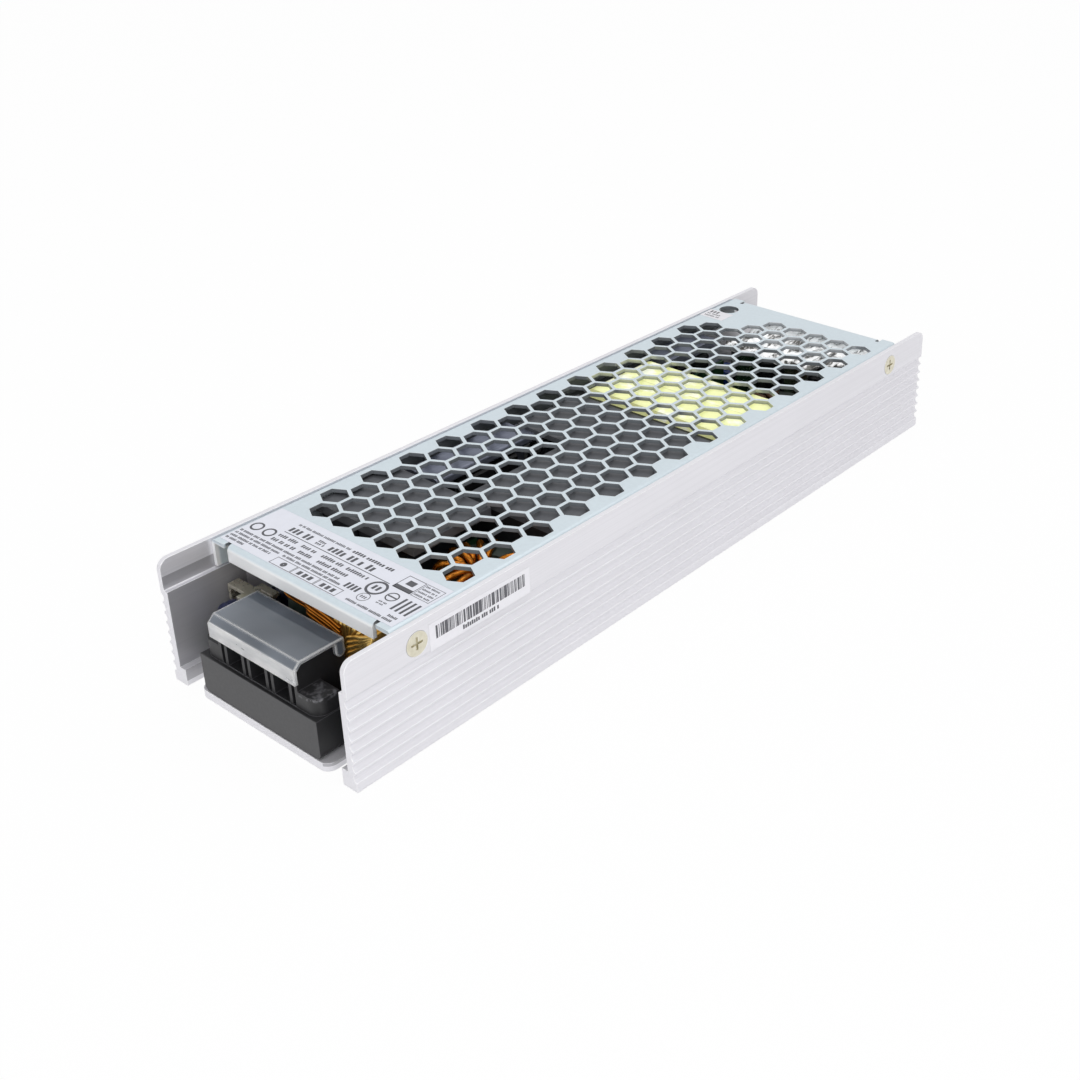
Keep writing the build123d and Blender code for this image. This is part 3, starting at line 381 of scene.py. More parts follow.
def cover_finish():
    """Pale sheet with painted shade on its punched cell walls and the insides of its rails, painted bounce
    light on the walls over the pale parts just under it, and a painted highlight on its front lip.
    """
    material = finish("Cover sheet", 0.89, colours().cover, 0.3, (0.32, 0.42), (900, 900, 900), 0.06,
                      edge="F8FBFB", edge_radius=0.00014, edge_highlight_share=0.85)
    tree = material.node_tree
    low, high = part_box("top_cover")
    edge = 0.4 * MM
    under_top = high.z - 1.1 * MM
    rails_start = -61 * MM
    cells = box_mask(tree, (low.x + edge, low.y + edge, under_top),
                     (high.x - edge, high.y - edge, high.z + MM))
    rails = box_mask(tree, (rails_start, low.y + edge, 0.0), (high.x - edge, high.y - edge, high.z - MM))
    # Painted shade on the punched cell walls and the inner faces of the rails
    walls = times(tree, math_node(tree, "MAXIMUM", cells, rails), upright_mask(tree))
    repaint(tree, "6A6D72", walls, 0.85)
    # Painted highlight on the front lip
    lip = box_mask(tree, (low.x - MM, low.y - MM, low.z - MM),
                   (low.x + 1.3 * MM, high.y + MM, high.z - 0.5 * MM), Margin=0.0006)
    repaint(tree, "FFFFFF", lip, 0.85)
    # Painted bounce light: paler walls over the pale tape and film just under the sheet
    for node, code in (("transformer_winding", "EEF2D4"), ("output_film", "E6E9EC")):
        low_below, high_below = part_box(node)
        above = box_mask(tree, (low_below.x, low_below.y - MM, under_top),
                         (high_below.x, high_below.y + MM, high.z + MM), Margin=0.002)
        repaint(tree, code, above, walls, 0.9)
    return material


def case_finish():
    """Brushed extrusion, with painted shade on the inner faces beside the mains terminals and painted
    highlights along its edges.
    """
    material = finish("Channel aluminium", 0.87, colours().case, 0.45, (0.32, 0.44), BRUSHED, 0.15,
                      edge="FDFDFF", edge_radius=0.00025, edge_highlight_share=0.85)
    tree = material.node_tree
    low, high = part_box("case_extrusion")
    wall = 0.9 * MM
    inner_end = -90 * MM
    # Painted shade on the upright inner faces beside the mains terminals
    inside = box_mask(tree, (low.x + 0.1 * MM, low.y + wall, low.z + 1.2 * MM),
                      (inner_end, high.y - wall, high.z - 4.0 * MM), Margin=0.00005)
    repaint(tree, "55555A", inside, upright_mask(tree), 0.5)
    return material


def moulding_finish():
    """Black moulding with a painted sheen that makes its front lighter, and pale scuffs on the shoulder at
    the near corner.
    """
    material = finish("Black moulding", "161618", "222224", rough=(0.42, 0.55), stretch=(1500, 1500, 1500),
                      bump=0.18, edge="77777D", edge_highlight_share=0.4)
    tree = material.node_tree
    low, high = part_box("input_terminal_body")
    # Painted sheen: the front face is lighter
    front = box_mask(tree, (low.x - MM, low.y, low.z - MM), (low.x + 0.3 * MM, high.y, high.z), Margin=0.0001)
    repaint(tree, "3D3D3F", front, 0.85)
    shoulder = box_mask(tree, (low.x - MM, -19.6 * MM, 14.9 * MM),
                        (low.x + 6.5 * MM, -13.4 * MM, 16.3 * MM), Margin=0.0009)
    specks = add(tree, "ShaderNodeTexNoise", Vector=place_in_object(tree), Scale=850.0, Detail=2.0)
    repaint(tree, "9C9CA2", shoulder, spread_value(tree, specks.outputs[0], 0.5, 0.66), 0.75)
    return material


def crumpled_film_finish():
    """Shiny clear film with painted glare in white streaks and a painted glow."""
    material, tree, shader = new_material("Crumpled film")
    grain = use_group(tree, "Grain", Stretch=(150.0, 420.0, 260.0))
    # Painted glare: white streaks over the film
    painted_glare = spread_value(tree, grain["Grain"], 0.39, 0.5)
    tree.links.new(blend_colour(tree, painted_glare, tone("4A4845"), WHITE), shader["Base Color"])
    tree.links.new(spread_value(tree, grain["Cloud"], 0.3, 0.7, 0.04, 0.16), shader["Roughness"])
    emboss(tree, grain["Grain"], 0.9, 0.0008)
    painted_glow(tree, 0.24)
    fill(shader, Transmission_Weight=0.12, Metallic=0.15, IOR=1.5)
    return material


def tape_finish():
    """Glossy yellow tape, wound in overlapping turns across the transformer, with painted white glare and a
    painted glow.
    """
    material = finish("Yellow tape", 0.84, colours().tape, rough=(0.08, 0.22), stretch=(90, 160, 160),
                      bump=0.6, bump_depth=0.0006, Coat_Weight=0.5, Coat_Roughness=0.05)
    tree = material.node_tree
    laps_to_the_metre = 120.0
    lap = math_node(tree, "FRACT", times(tree, coordinate(tree, "Object", "X"), laps_to_the_metre))
    repaint(tree, "A09D48", spread_value(tree, lap, 0.93, 0.97), 0.3)
    # Painted glare: pale patches over the tape
    folds = use_group(tree, "Grain", Stretch=(230.0, 150.0, 200.0))["Grain"]
    repaint(tree, "FFFFF6", spread_value(tree, folds, 0.52, 0.64), 0.8)
    painted_glow(tree, 0.34)
    return material


def gold_finish():
    """Gold enamel with a painted highlight, a glow on the tops of the wire that stays dark below, in the
    shade of the cover.
    """
    material = finish("Gold enamel", 0.22, colours().gold, 0.7, (0.14, 0.28), (420, 420, 420), 0.04)
    tree = material.node_tree
    shader = shader_of(tree)
    # Painted highlight: the wire's upward faces glow, its downward faces stay dark
    glowing_tops = spread_value(tree, coordinate(tree, "Normal", "Z"), 0.45, 0.95)
    tree.links.new(blend_colour(tree, glowing_tops, tone("201004"), tone("E0AC56")), shader["Emission Color"])
    shader["Emission Strength"].default_value = 0.55
    return material


def board_finish():
    """Green laminate with copper tracks showing through the mask."""
    material = finish("Board laminate", "0B1E15", "10301F", rough=(0.3, 0.42), bump=0.05)
    tree = material.node_tree
    cells = add(tree, "ShaderNodeTexVoronoi", Vector=place_in_object(tree), Scale=260.0)
    cells.feature = "F1"
    cells.distance = "CHEBYCHEV"
    repaint(tree, "35603D", spread_value(tree, cells.outputs["Distance"], 0.32, 0.36), 0.3)
    return material


# Grain drawn out along the case, and the finish of each material slot of the record
BRUSHED = (14.0, 2600.0, 2600.0)
# The edge colours in these finishes are painted highlights
FINISHES = {
    "case_aluminium": case_finish,
    "cover_aluminium": cover_finish,
    "yellow_zinc": lambda: finish("Yellow zinc", "C6C0A8", "EDE9DA", 0.9, (0.22, 0.42), bump=0.1,
                                  edge="FAF8EE"),
    "insulating_film": lambda: finish("Insulating film", "141416", "1E1E21", rough=(0.35, 0.5)),
    "plated_steel": lambda: finish("Plated steel", "A9AAAC", "C6C7C8", 1.0, (0.25, 0.4), edge="E8E8EA"),
    "board_laminate": board_finish,
    "black_moulding": moulding_finish,
    "tinned_copper": lambda: finish("Tinned copper", "BDBDB9", "DCDCD8", 1.0, (0.16, 0.32), edge="F2F2EE"),
    "clear_plastic": lid_finish,
    "dark_moulding": lambda: finish("Dark moulding", "222329", "34363D", rough=(0.35, 0.5), edge="6B6D75",
                                    edge_highlight_share=0.3),
    "blue_dip": lambda: finish("Blue dip coat", "0E1536", "18234E", rough=(0.2, 0.32), bump=0.15),
    "dark_dip": lambda: finish("Dark dip coat", "101114", "1C1D22", rough=(0.2, 0.34), bump=0.15),
    "cream_plated": lambda: finish("Cream plated strap", "CFC8B4", "E8E3D2", 0.8, (0.2, 0.36), edge="F4F0E2"),
    "ring_core": lambda: finish("Coated ring core", "26302B", "37443C", rough=(0.35, 0.5)),
    "enamelled_copper": lambda: finish("Enamelled copper", 0.38, colours().orange, 0.85, (0.16, 0.3),
                                       (500, 500, 500), 0.04),
    "potting": lambda: finish("Potting compound", "3E4044", "54565B", rough=(0.45, 0.6), bump=0.3),
    "plain_aluminium": lambda: finish("Mill aluminium", "6E7384", "8C91A1", 0.5, (0.4, 0.55), BRUSHED, 0.2,
                                      edge="B4B9C6"),
    "dark_sleeve": lambda: finish("Dark sleeve", "131417", "202227", rough=(0.22, 0.34), edge="4B4D55",
                                  edge_highlight_share=0.3),
    "ferrite": lambda: finish("Ferrite", "1B1C1F", "2B2D31", 0.2, (0.4, 0.6), (1600, 1600, 1600), 0.3,
                              edge="55575C", edge_highlight_share=0.4),
    "yellow_tape": tape_finish,
    "silicone_pad": lambda: finish("Silicone pad", "55575B", "66686D", rough=(0.5, 0.65), bump=0.3),
    "blue_moulding": lambda: finish("Blue moulding", "1A3F8C", "2553AC", rough=(0.25, 0.4), bump=0.05),
    "white_moulding": lambda: finish("White moulding", "DAD9D2", "ECEBE6", rough=(0.35, 0.5), bump=0.05),
    "green_lens": lambda: finish("Green lens", "2F8A3D", "4DB45B", rough=(0.1, 0.2), bump=0.02,
                                 Transmission_Weight=0.4),
}

# Finish of the nodes that differ from the others of their slot
NODE_FINISHES = {
    "input_fuse": lambda: finish("Fuse cap", "12131F", "20222F", rough=(0.14, 0.26), bump=0.08, edge="50536A",
                                 edge_highlight_share=0.5),
}


# Meshes

def grid_faces(rows, columns, wrap=True):
    """Quads between neighbouring points of a grid; wrap joins the last column to the first."""
    r, c = np.meshgrid(np.arange(rows - 1), np.arange(columns if wrap else columns - 1), indexing="ij")
    step = (c + 1) % columns
    quads = [r * columns + c, r * columns + step, (r + 1) * columns + step, (r + 1) * columns + c]
    return np.stack(quads, -1).reshape(-1, 4)


def tube(path, outward, radius, sides=10):
    """Round section carried along a path: centre + radius x (cos a x outward + sin a x sideways)."""
    ahead = np.gradient(path, axis=0)
    ahead /= np.linalg.norm(ahead, axis=1, keepdims=True)
    outward = outward - np.sum(outward * ahead, 1, keepdims=True) * ahead
    outward /= np.linalg.norm(outward, axis=1, keepdims=True)
    sideways = np.cross(ahead, outward)
    angle = np.arange(sides) * 2 * pi / sides
    section = (np.cos(angle)[None, :, None] * outward[:, None]
               + np.sin(angle)[None, :, None] * sideways[:, None])
    points = (path[:, None] + radius * section).reshape(-1, 3)
    faces = grid_faces(len(path), sides).tolist()
    first = list(range(sides))[::-1]
    last = [len(points) - sides + i for i in range(sides)]
    return points, faces + [first, last]


def smooth_path(points, steps=12):
    """Curve through points: on each span a cubic whose slope at a point is half the way between its
    two neighbours."""
    p = np.asarray(points, float)
    p = np.concatenate([2 * p[:1] - p[1:2], p, 2 * p[-1:] - p[-2:-1]])
    a, b, c, d = (p[i:len(p) - 3 + i, None] for i in range(4))
    t = np.linspace(0.0, 1.0, steps, endpoint=False)[None, :, None]
    spans = (2 * b + (c - a) * t + (2 * a - 5 * b + 4 * c - d) * t ** 2
             + (3 * b - a - 3 * c + d) * t ** 3) / 2
    return np.concatenate([spans.reshape(-1, 3), p[-2:-1]])


def joined(parts):
    """Several (points, faces) pairs as one."""
    points, faces, count = [], [], 0
    for more_points, more_faces in parts:
        points.append(more_points)
        faces += [[count + i for i in face] for face in more_faces]
        count += len(more_points)
    return np.concatenate(points), faces


def put_in_scene(name, data):
    """A new object in the scene."""
    made = bpy.data.objects.new(name, data)
    bpy.context.scene.collection.objects.link(made)
    return made


def piece(name, shape, material, body, smooth=False, replaces=()):
    """Makes an object of points and faces, gives it its finish and lets it ride on its body."""
    points, faces = shape
    mesh = bpy.data.meshes.new(name)
    mesh.from_pydata(np.asarray(points).tolist(), [], faces)
    mesh.update()
    mesh.polygons.foreach_set("use_smooth", [smooth] * len(mesh.polygons))
    mesh.materials.append(material)
    made = put_in_scene(name, mesh)
    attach(made, body)
    if replaces:
        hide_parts(*replaces)


# Name of the material that each slot has been given
SLOT_MATERIALS = {}


def material_of(slot):
    return bpy.data.materials[SLOT_MATERIALS[slot]]


# Air between a ring core and its wire
CORE_GAP = 0.1 * MM


def ring_wire(centre, turn, middle, half_across, half_along, wire, turns, start, sweep, shift,
              steps=36, squareness=0.5):
    """One wire wound round a ring core. The angle round the ring grows steadily while the wire goes
    round the core's section, a rounded rectangle: r = middle + half_across x c^n, z = half_along x s^n,
    where c and s are the cosine and sine of the wire's own angle and n is the squareness.
    Where the turns are too many for the bore, every other one lies a wire deeper in it."""
    t = np.linspace(0.0, 1.0, turns * steps)
    around = radians(start) + shift / middle + radians(sweep) * t
    spin = 2 * pi * turns * t + pi
    c, s = np.cos(spin), np.sin(spin)
    c = np.sign(c) * np.abs(c) ** squareness
    s = np.sign(s) * np.abs(s) ** squareness
    radial = middle + half_across * c
    if turns * wire > 2 * pi * (middle - half_across) * sweep / 360:
        radial += np.minimum(c, 0.0) * wire * (np.floor(turns * t) % 2)
    path = np.stack([radial * np.cos(around), radial * np.sin(around), half_along * s], 1)
    out = np.stack([c * np.cos(around), c * np.sin(around), s], 1)
    turn = np.array(Matrix(turn).to_3x3())
    return tube(path @ turn.T + np.array(centre), out @ turn.T, wire / 2)


def ring_choke(name, centre, turn, size, width, core, wire, strands, turns, arcs, node, enamel):
    """Enamelled wire wound round a ring core in one or two coils, each of one or more strands that lie
    side by side. Size and width are over the wire, core is the thickness of the ring."""
    strand_step = 1.02 * wire
    half_across = (core + 2 * CORE_GAP + wire) / 2
    half_along = (width - wire) / 2
    middle = size / 2 - wire / 2 - half_across
    margin = (wire * strands / 2) / (middle - half_across) * 180 / pi
    wires = []
    for start, sweep in arcs:
        for i in range(strands):
            shift = (i - (strands - 1) / 2) * strand_step
            wires.append(ring_wire(centre, turn, middle, half_across, half_along, wire, turns,
                                   start + margin, sweep - 2 * margin, shift))
    piece(name, joined(wires), enamel, "case", True, replaces=node)


# Print

def slabs(marks, origin, right, down, out, thickness):
    """Thin closed slabs. Each mark is (left, right, top, bottom) on a label whose corner is origin."""
    marks = np.array(marks)
    corners = [(0, 2), (0, 3), (1, 3), (1, 2)]
    flat = np.stack([marks[:, corner] for corner in corners], 1)
    low = origin + flat[..., :1] * right + flat[..., 1:] * down
    points = np.concatenate([low, low + np.array(out) * thickness], 1).reshape(-1, 3)
    one = np.array([[3, 2, 1, 0], [4, 5, 6, 7], [0, 1, 5, 4], [1, 2, 6, 5], [2, 3, 7, 6], [3, 0, 4, 7]])
    faces = (one[None] + 8 * np.arange(len(marks))[:, None, None]).reshape(-1, 4)
    return points, faces.tolist()


def word_marks(random, left, right, top, tall, letter, fill=0.62):
    """A row of short marks that reads as small print: words of two to eight strokes."""
    marks = []
    x = left
    while x < right - letter:
        for _ in range(int(random.integers(2, 9))):
            if x > right - letter:
                break
            drop = tall * float(random.uniform(0.0, 0.25))
            marks.append((x, x + letter * fill, top + drop, top + tall))
            x += letter
        x += letter * 0.7
    return marks


def bar_marks(left, right, top, bottom, count, fill=0.5):
    """Upright bars spread evenly across a box."""
    edges = np.linspace(left, right + (right - left) / count * (1 - fill), count + 1)
    return [(a, a + (b - a) * fill, top, bottom) for a, b in zip(edges[:-1], edges[1:])]


def frame_marks(left, right, top, bottom, line):
    """Outline of a box as four thin marks."""
    return [(left, right, top, top + line), (left, right, bottom - line, bottom),
            (left, left + line, top, bottom), (right - line, right, top, bottom)]


def ring_marks(x, y, radius, line, origin, right, down, out, thickness, sides=32):
    """Flat ring on a label, closed all round: inner and outer circles joined above and below."""
    angle = np.arange(sides) * 2 * pi / sides
    rim = np.stack([np.cos(angle), np.sin(angle)], 1)
    loops = []
    for reach, lift in ((radius, 0.0), (radius, 1.0), (radius - line, 1.0), (radius - line, 0.0)):
        flat = rim * reach + np.array([x, y])
        loops.append(origin + flat[:, :1] * right + flat[:, 1:] * down + np.array(out) * thickness * lift)
    points = np.stack(loops, 1).reshape(-1, 3)
    return points, (grid_faces(sides + 1, len(loops)) % len(points)).tolist()


# Operators

class BuildFinishes(bpy.types.Operator):
    """Give every construction node its finish"""
    bl_idname = "power_supply.finishes"
    bl_label = "Finishes"

    def execute(self, context):
        grain_group()
        edge_group()
        box_mask_group()
        for entry in frame["record"]["subparts"]:
            slot = entry["material_slot"]
            if slot not in SLOT_MATERIALS:
                SLOT_MATERIALS[slot] = FINISHES[slot]().name
            node = frame["nodes"][entry["node"]]
            own = NODE_FINISHES.get(entry["node"])
            node.data.materials.clear()
            node.data.materials.append(own() if own else material_of(slot))
        return {"FINISHED"}


class BuildWindings(bpy.types.Operator):
    """Wind the ring chokes with real wire"""
    bl_idname = "power_supply.windings"
    bl_label = "Windings"

    # Arcs that the coils take of their rings: start and sweep in degrees
    rolling_arcs = ((8, 164), (188, 164))
    facing_arcs = ((3, 354),)
    flat_arcs = ((5, 345),)

    def execute(self, context):
        sizes = context.scene.supply_windings
        orange = material_of("enamelled_copper")
        gold = gold_finish()
        brown = finish("Brown enamel", 0.27, colours().brown, 0.6, (0.2, 0.34), (500, 500, 500), 0.04)
        nodes = ["line_choke_windings"]
        low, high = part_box(nodes[0])
        tall = high.z - low.z
        rolling = (low.x + tall / 2, high.y - sizes.rolling_width / 2, low.z + tall / 2)
        ring_choke("rolling_choke_wire", rolling, Matrix.Rotation(pi / 2, 4, "X"), tall,
                   sizes.rolling_width, sizes.rolling_core, sizes.strand, 3, sizes.rolling_turns,
                   self.rolling_arcs, nodes, orange)
        reach = sizes.facing_size / 2
        facing = (low.x + sizes.facing_width / 2, low.y + reach, low.z + reach)
        ring_choke("facing_choke_wire", facing, Matrix.Rotation(pi / 2, 4, "Y"), sizes.facing_size,
                   sizes.facing_width, sizes.facing_core, sizes.facing_wire, 1, sizes.facing_turns,
                   self.facing_arcs, nodes, gold)
        self.leads(sizes.lead_wire, gold)
        self.crossing(low.x, sizes.lead_wire, orange)
        for node, wire, turns, core, enamel in (
                ("filter_choke_winding", sizes.filter_wire, sizes.filter_turns, sizes.filter_core, orange),
                ("output_choke_winding", sizes.output_wire, sizes.output_turns, sizes.output_core, brown)):
            low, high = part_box(node)
            core_low, core_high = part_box(node.replace("winding", "core"))
            size = core_high.x - core_low.x + 2 * (wire + CORE_GAP)
            centre = ((core_low.x + core_high.x) / 2, (core_low.y + core_high.y) / 2, (low.z + high.z) / 2)
            ring_choke(node + "_wire", centre, Matrix.Identity(4), size, high.z - low.z, core, wire, 1,
                       turns, self.flat_arcs, [node], enamel)
        return {"FINISHED"}

    def leads(self, wire, gold):
        """Five leads that fan down behind the terminal block, each lower than the one before: round
        wires along smooth curves through points in millimetres."""
        wires = []
        for i in range(5):
            route = [(-86, -18.5, 21.5), (-90.5, -20.6, 24.6 - 0.3 * i),
                     (-94.1 - 0.25 * i, -20.6, 24.8 - 0.42 * i), (-94.95, -17.4, 23.5 - 0.86 * i),
                     (-94.3, -14.2, 21.9 - 1.17 * i), (-94.3, -11.4, 19.8 - 1.2 * i),
                     (-94.3, -10.4, 12.0), (-94.3, -10.4, 7.0)]
            line = smooth_path(np.array(route) * MM)
            wires.append(tube(line, np.tile((1.0, 0.4, 0.3), (len(line), 1)), wire / 2))
        piece("choke_leads", joined(wires), gold, "case", True)

    def crossing(self, front, wire, orange):
        """Four wires that cross the front of the chokes, each lower than the one before: round wires, a
        little thinner than the leads, along smooth curves through points in millimetres."""
        wires = []
        for i in range(4):
            x, z = front / MM - (0.5 + 0.12 * (i % 2)), 24.6 - 1.05 * i
            route = [(x + 3.0, 4.4, z - 0.8), (x + 0.4, 1.2, z), (x, -2.4, z - 0.3), (x, -6.2, z - 1.0),
                     (x + 0.2, -9.6, z - 2.4)]
            line = smooth_path(np.array(route) * MM)
            wires.append(tube(line, np.tile((0.0, 0.0, 1.0), (len(line), 1)), wire * 0.45))
        piece("choke_crossing", joined(wires), orange, "case", True)


class BuildFilm(bpy.types.Operator):
    """Crumple the clear film over the output end"""
    bl_idname = "power_supply.film"
    bl_label = "Film"

    thickness = 0.4 * MM
    fold_depth = 1.9 * MM

    def execute(self, context):
        low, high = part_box("output_film")
        film = crumpled_film_finish()
        piece("output_film_crumpled", self.sheet(low, high, 64), film, "case", True,
              replaces=["output_film"])
        near = Vector((low.x + 5.0 * MM, low.y - 5.5 * MM, low.z)), Vector((high.x - 1.0 * MM, low.y, high.z))
        inner = Vector((low.x - 5.0 * MM, low.y + 6.0 * MM, low.z)), Vector((low.x, high.y, high.z))
        flaps = [self.sheet(*near, 24), self.sheet(*inner, 24)]
        piece("output_film_flap", joined(flaps), film, "case", True)
        return {"FINISHED"}

    def sheet(self, low, high, count):
        """Closed thin sheet on a grid of count by count points: z = top - depth x (sum of nine folds,
        brought to 0 to 1), where a fold is 1 - |sin| along its own direction, bent by a second sine."""
        u, v = np.meshgrid(np.linspace(0, 1, count), np.linspace(0, 1, count), indexing="ij")
        random = np.random.default_rng(3)
        folds = np.zeros_like(u)
        for _ in range(9):
            turn = random.uniform(0, pi)
            waves = random.uniform(1.5, 5.5)
            along = (u * cos(turn) + v * sin(turn)) * waves * pi + random.uniform(0, 2 * pi)
            along += 0.6 * np.sin(random.uniform(2, 5) * v * pi + random.uniform(0, 6))
            folds += 1 - np.abs(np.sin(along))
        folds = (folds - folds.min()) / (folds.max() - folds.min())
        top = np.stack([low.x + u * (high.x - low.x), low.y + v * (high.y - low.y),
                        high.z - self.fold_depth * folds], -1).reshape(-1, 3)
        points = np.concatenate([top, top - np.array([0, 0, self.thickness])])
        under = grid_faces(count, count, wrap=False)
        # The rim's points in order: along the first row, and on round the other three sides
        ring = np.concatenate([np.arange(count), np.arange(1, count) * count + count - 1,
                               count * count - 2 - np.arange(count - 1),
                               (count - 2 - np.arange(count - 2)) * count])
        after = np.roll(ring, -1)
        skirt = np.stack([ring, after, after + len(top), ring + len(top)], 1)
        return points, np.concatenate([under[:, ::-1], under + len(top), skirt]).tolist()


class BuildRatingLabel(bpy.types.Operator):
    """Lay the rating label with its small print on the cover"""
    bl_idname = "power_supply.rating_label"
    bl_label = "Rating label"

    # The print, in millimetres across and down the label.
    # Rows of words: left, right, top, height, step of a letter and the share of it that is ink
    words = (
        (9.3, 27.0, 2.0, 0.75, 0.46, 0.62), (27.8, 41.3, 1.9, 1.0, 0.8, 0.7),
        (9.3, 17.3, 3.7, 2.0, 1.3, 0.62), (22.8, 28.7, 3.7, 2.0, 1.3, 0.62),
        (29.1, 34.5, 3.7, 2.0, 1.3, 0.62), (35.1, 38.5, 3.7, 2.0, 1.3, 0.62),
        (18.4, 21.4, 3.8, 0.75, 0.6, 0.62), (18.4, 21.4, 4.8, 0.75, 0.6, 0.62),
        (9.3, 16.0, 7.35, 1.1, 0.72, 0.66), (17.2, 22.5, 7.35, 1.1, 0.72, 0.66),
        (24.0, 31.2, 7.35, 1.1, 0.72, 0.66), (32.2, 39.7, 7.35, 1.1, 0.72, 0.66),
        (9.3, 17.5, 9.4, 1.1, 0.72, 0.66), (18.6, 23.5, 9.4, 1.1, 0.72, 0.66),
        (25.0, 35.1, 9.4, 1.1, 0.72, 0.66), (0.6, 34.7, 11.45, 0.75, 0.46, 0.66),
        (0.6, 16.1, 12.75, 0.75, 0.46, 0.66), (17.3, 36.3, 12.75, 0.75, 0.46, 0.66),
        (0.6, 14.9, 14.05, 0.75, 0.46, 0.66), (0.6, 6.9, 15.3, 0.75, 0.46, 0.66),
        (41.4, 56.0, 15.4, 0.75, 0.46, 0.66), (52.8, 56.0, 14.1, 0.75, 0.46, 0.66),
        (47.2, 49.8, 11.8, 0.45, 0.36, 0.62), (47.2, 49.8, 12.55, 0.45, 0.36, 0.62),
        (51.0, 55.6, 2.0, 0.6, 0.42, 0.62), (51.0, 55.6, 3.15, 0.6, 0.42, 0.62),
        (51.0, 55.6, 4.3, 0.6, 0.42, 0.62), (51.0, 55.6, 5.45, 0.6, 0.42, 0.62))
    # Groups of upright bars: left, right, top, bottom, count and the share of ink
    bars = (
        (25.4, 30.0, 14.85, 16.2, 3, 0.62), (33.0, 37.3, 14.85, 16.2, 3, 0.62),
        (37.0, 41.0, 11.2, 13.1, 4, 0.6), (42.2, 44.2, 8.4, 10.0, 2, 0.6),
        (42.9, 44.5, 12.8, 13.6, 3, 0.5), (51.2, 56.0, 8.1, 12.8, 4, 0.45))
    # Outlines: left, right, top, bottom and line
    frames = (
        (17.0, 23.8, 14.1, 16.8, 0.14), (24.0, 31.4, 14.1, 16.8, 0.14), (31.6, 38.7, 14.1, 16.8, 0.14),
        (45.0, 50.3, 1.5, 6.6, 0.16), (50.6, 56.0, 1.5, 6.6, 0.12))
    # A rule and plain boxes: left, right, top and bottom
    boxes = ((9.1, 44.0, 6.3, 6.5), (47.1, 49.7, 9.3, 9.7), (45.0, 50.3, 5.3, 6.6), (46.6, 48.8, 2.7, 4.4))
    # Rings: place across and down, radius and line
    rings = (
        (2.5, 8.8, 1.7, 0.5), (6.8, 8.8, 1.7, 0.5), (20.5, 15.5, 0.8, 0.7), (43.2, 9.2, 2.55, 0.6),
        (43.7, 13.2, 1.5, 0.16), (48.4, 9.5, 1.6, 0.3))

    def execute(self, context):
        sizes = context.scene.supply_labels
        low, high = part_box("top_cover")
        left, wide = high.y - sizes.bend, high.y - low.y - 2 * sizes.bend
        origin = np.array([low.x + sizes.bend + sizes.depth, left, high.z])
        paper = finish("Label paper", 0.92, colours().paper, rough=(0.3, 0.4), stretch=(300, 300, 300),
                       bump=0.02)
        ink = finish("Label ink", 0.6, colours().ink, rough=(0.4, 0.5), bump=0.0)
        over, down, out = np.array([0.0, -1.0, 0.0]), np.array([-1.0, 0.0, 0.0]), (0.0, 0.0, 1.0)
        sheet = slabs([(0.0, wide, 0.0, sizes.depth)], origin, over, down, out, sizes.thickness)
        piece("rating_label", sheet, paper, "case")
        top = origin + np.array([0.0, 0.0, sizes.thickness])
        on_top = (top, over, down, out, sizes.ink_thickness)
        shapes = [slabs(np.array(self.marks()) * MM, *on_top)]
        shapes += [ring_marks(*(np.array(ring) * MM), *on_top) for ring in self.rings]
        piece("rating_label_print", joined(shapes), ink, "case")
        return {"FINISHED"}

    def marks(self):
        """Marks of the words, the bars, the outlines and the boxes."""
        random = np.random.default_rng(11)
        marks = [mark for row in self.words for mark in word_marks(random, *row)]
        marks += [mark for row in self.bars for mark in bar_marks(*row)]
        marks += [mark for row in self.frames for mark in frame_marks(*row)]
        return marks + list(self.boxes)


class BuildStickers(bpy.types.Operator):
    """Put the bar sticker on the near wall and the small sticker by the adjuster"""
    bl_idname = "power_supply.stickers"
    bl_label = "Stickers"

    def execute(self, context):
        random = np.random.default_rng(5)
        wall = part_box("case_extrusion")[0]
        marks = self.bars(random) + word_marks(random, 9.2, 20.4, 4.7, 1.1, 0.62, 0.75)
        paper = finish("Sticker paper", "E4E3E8", "ECEBF0", rough=(0.4, 0.5), bump=0.02)
        ink = finish("Sticker ink", "4A4A50", "66666C", rough=(0.4, 0.5), bump=0.0)
        self.sticker("bar_sticker", (-88.2 * MM, wall.y, 28.9 * MM), (1, 0, 0), (0, 0, -1), (0, -1, 0),
                     (29.4, 6.6), marks, paper, ink)
        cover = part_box("top_cover")[1]
        marks = word_marks(random, 1.0, 7.4, 0.9, 0.9, 0.62) + word_marks(random, 1.0, 6.2, 2.4, 0.9, 0.62)
        marks += bar_marks(1.0, 4.0, 3.9, 5.3, 3, 0.6)
        self.sticker("adjuster_sticker", (78.4 * MM, 29.0 * MM, cover.z), (0, -1, 0), (1, 0, 0), (0, 0, 1),
                     (8.4, 6.0), marks, paper, ink)
        return {"FINISHED"}

    def bars(self, random):
        """Upright bars whose widths and gaps, in millimetres, are drawn at random and encode nothing."""
        x, right, top, bottom = 1.8, 27.6, 1.1, 4.2
        marks = []
        while x < right:
            wide = float(random.choice([0.18, 0.18, 0.36, 0.54, 0.9]))
            marks.append((x, x + wide, top, bottom))
            x += wide + float(random.choice([0.14, 0.14, 0.3]))
        return marks

    def sticker(self, name, corner, over, down, out, size, marks, paper, ink):
        """Thin paper and its print: size and marks in millimetres across and down from the corner."""
        thin = bpy.context.scene.supply_labels.sticker_thickness
        corner, over, down, out = (np.array(v, float) for v in (corner, over, down, out))
        sheet = slabs(np.array([(0.0, size[0], 0.0, size[1])]) * MM, corner, over, down, out, thin)
        piece(name, sheet, paper, "case")
        on_top = slabs(np.array(marks) * MM, corner + out * thin, over, down, out, thin / 2)
        piece(name + "_print", on_top, ink, "case")


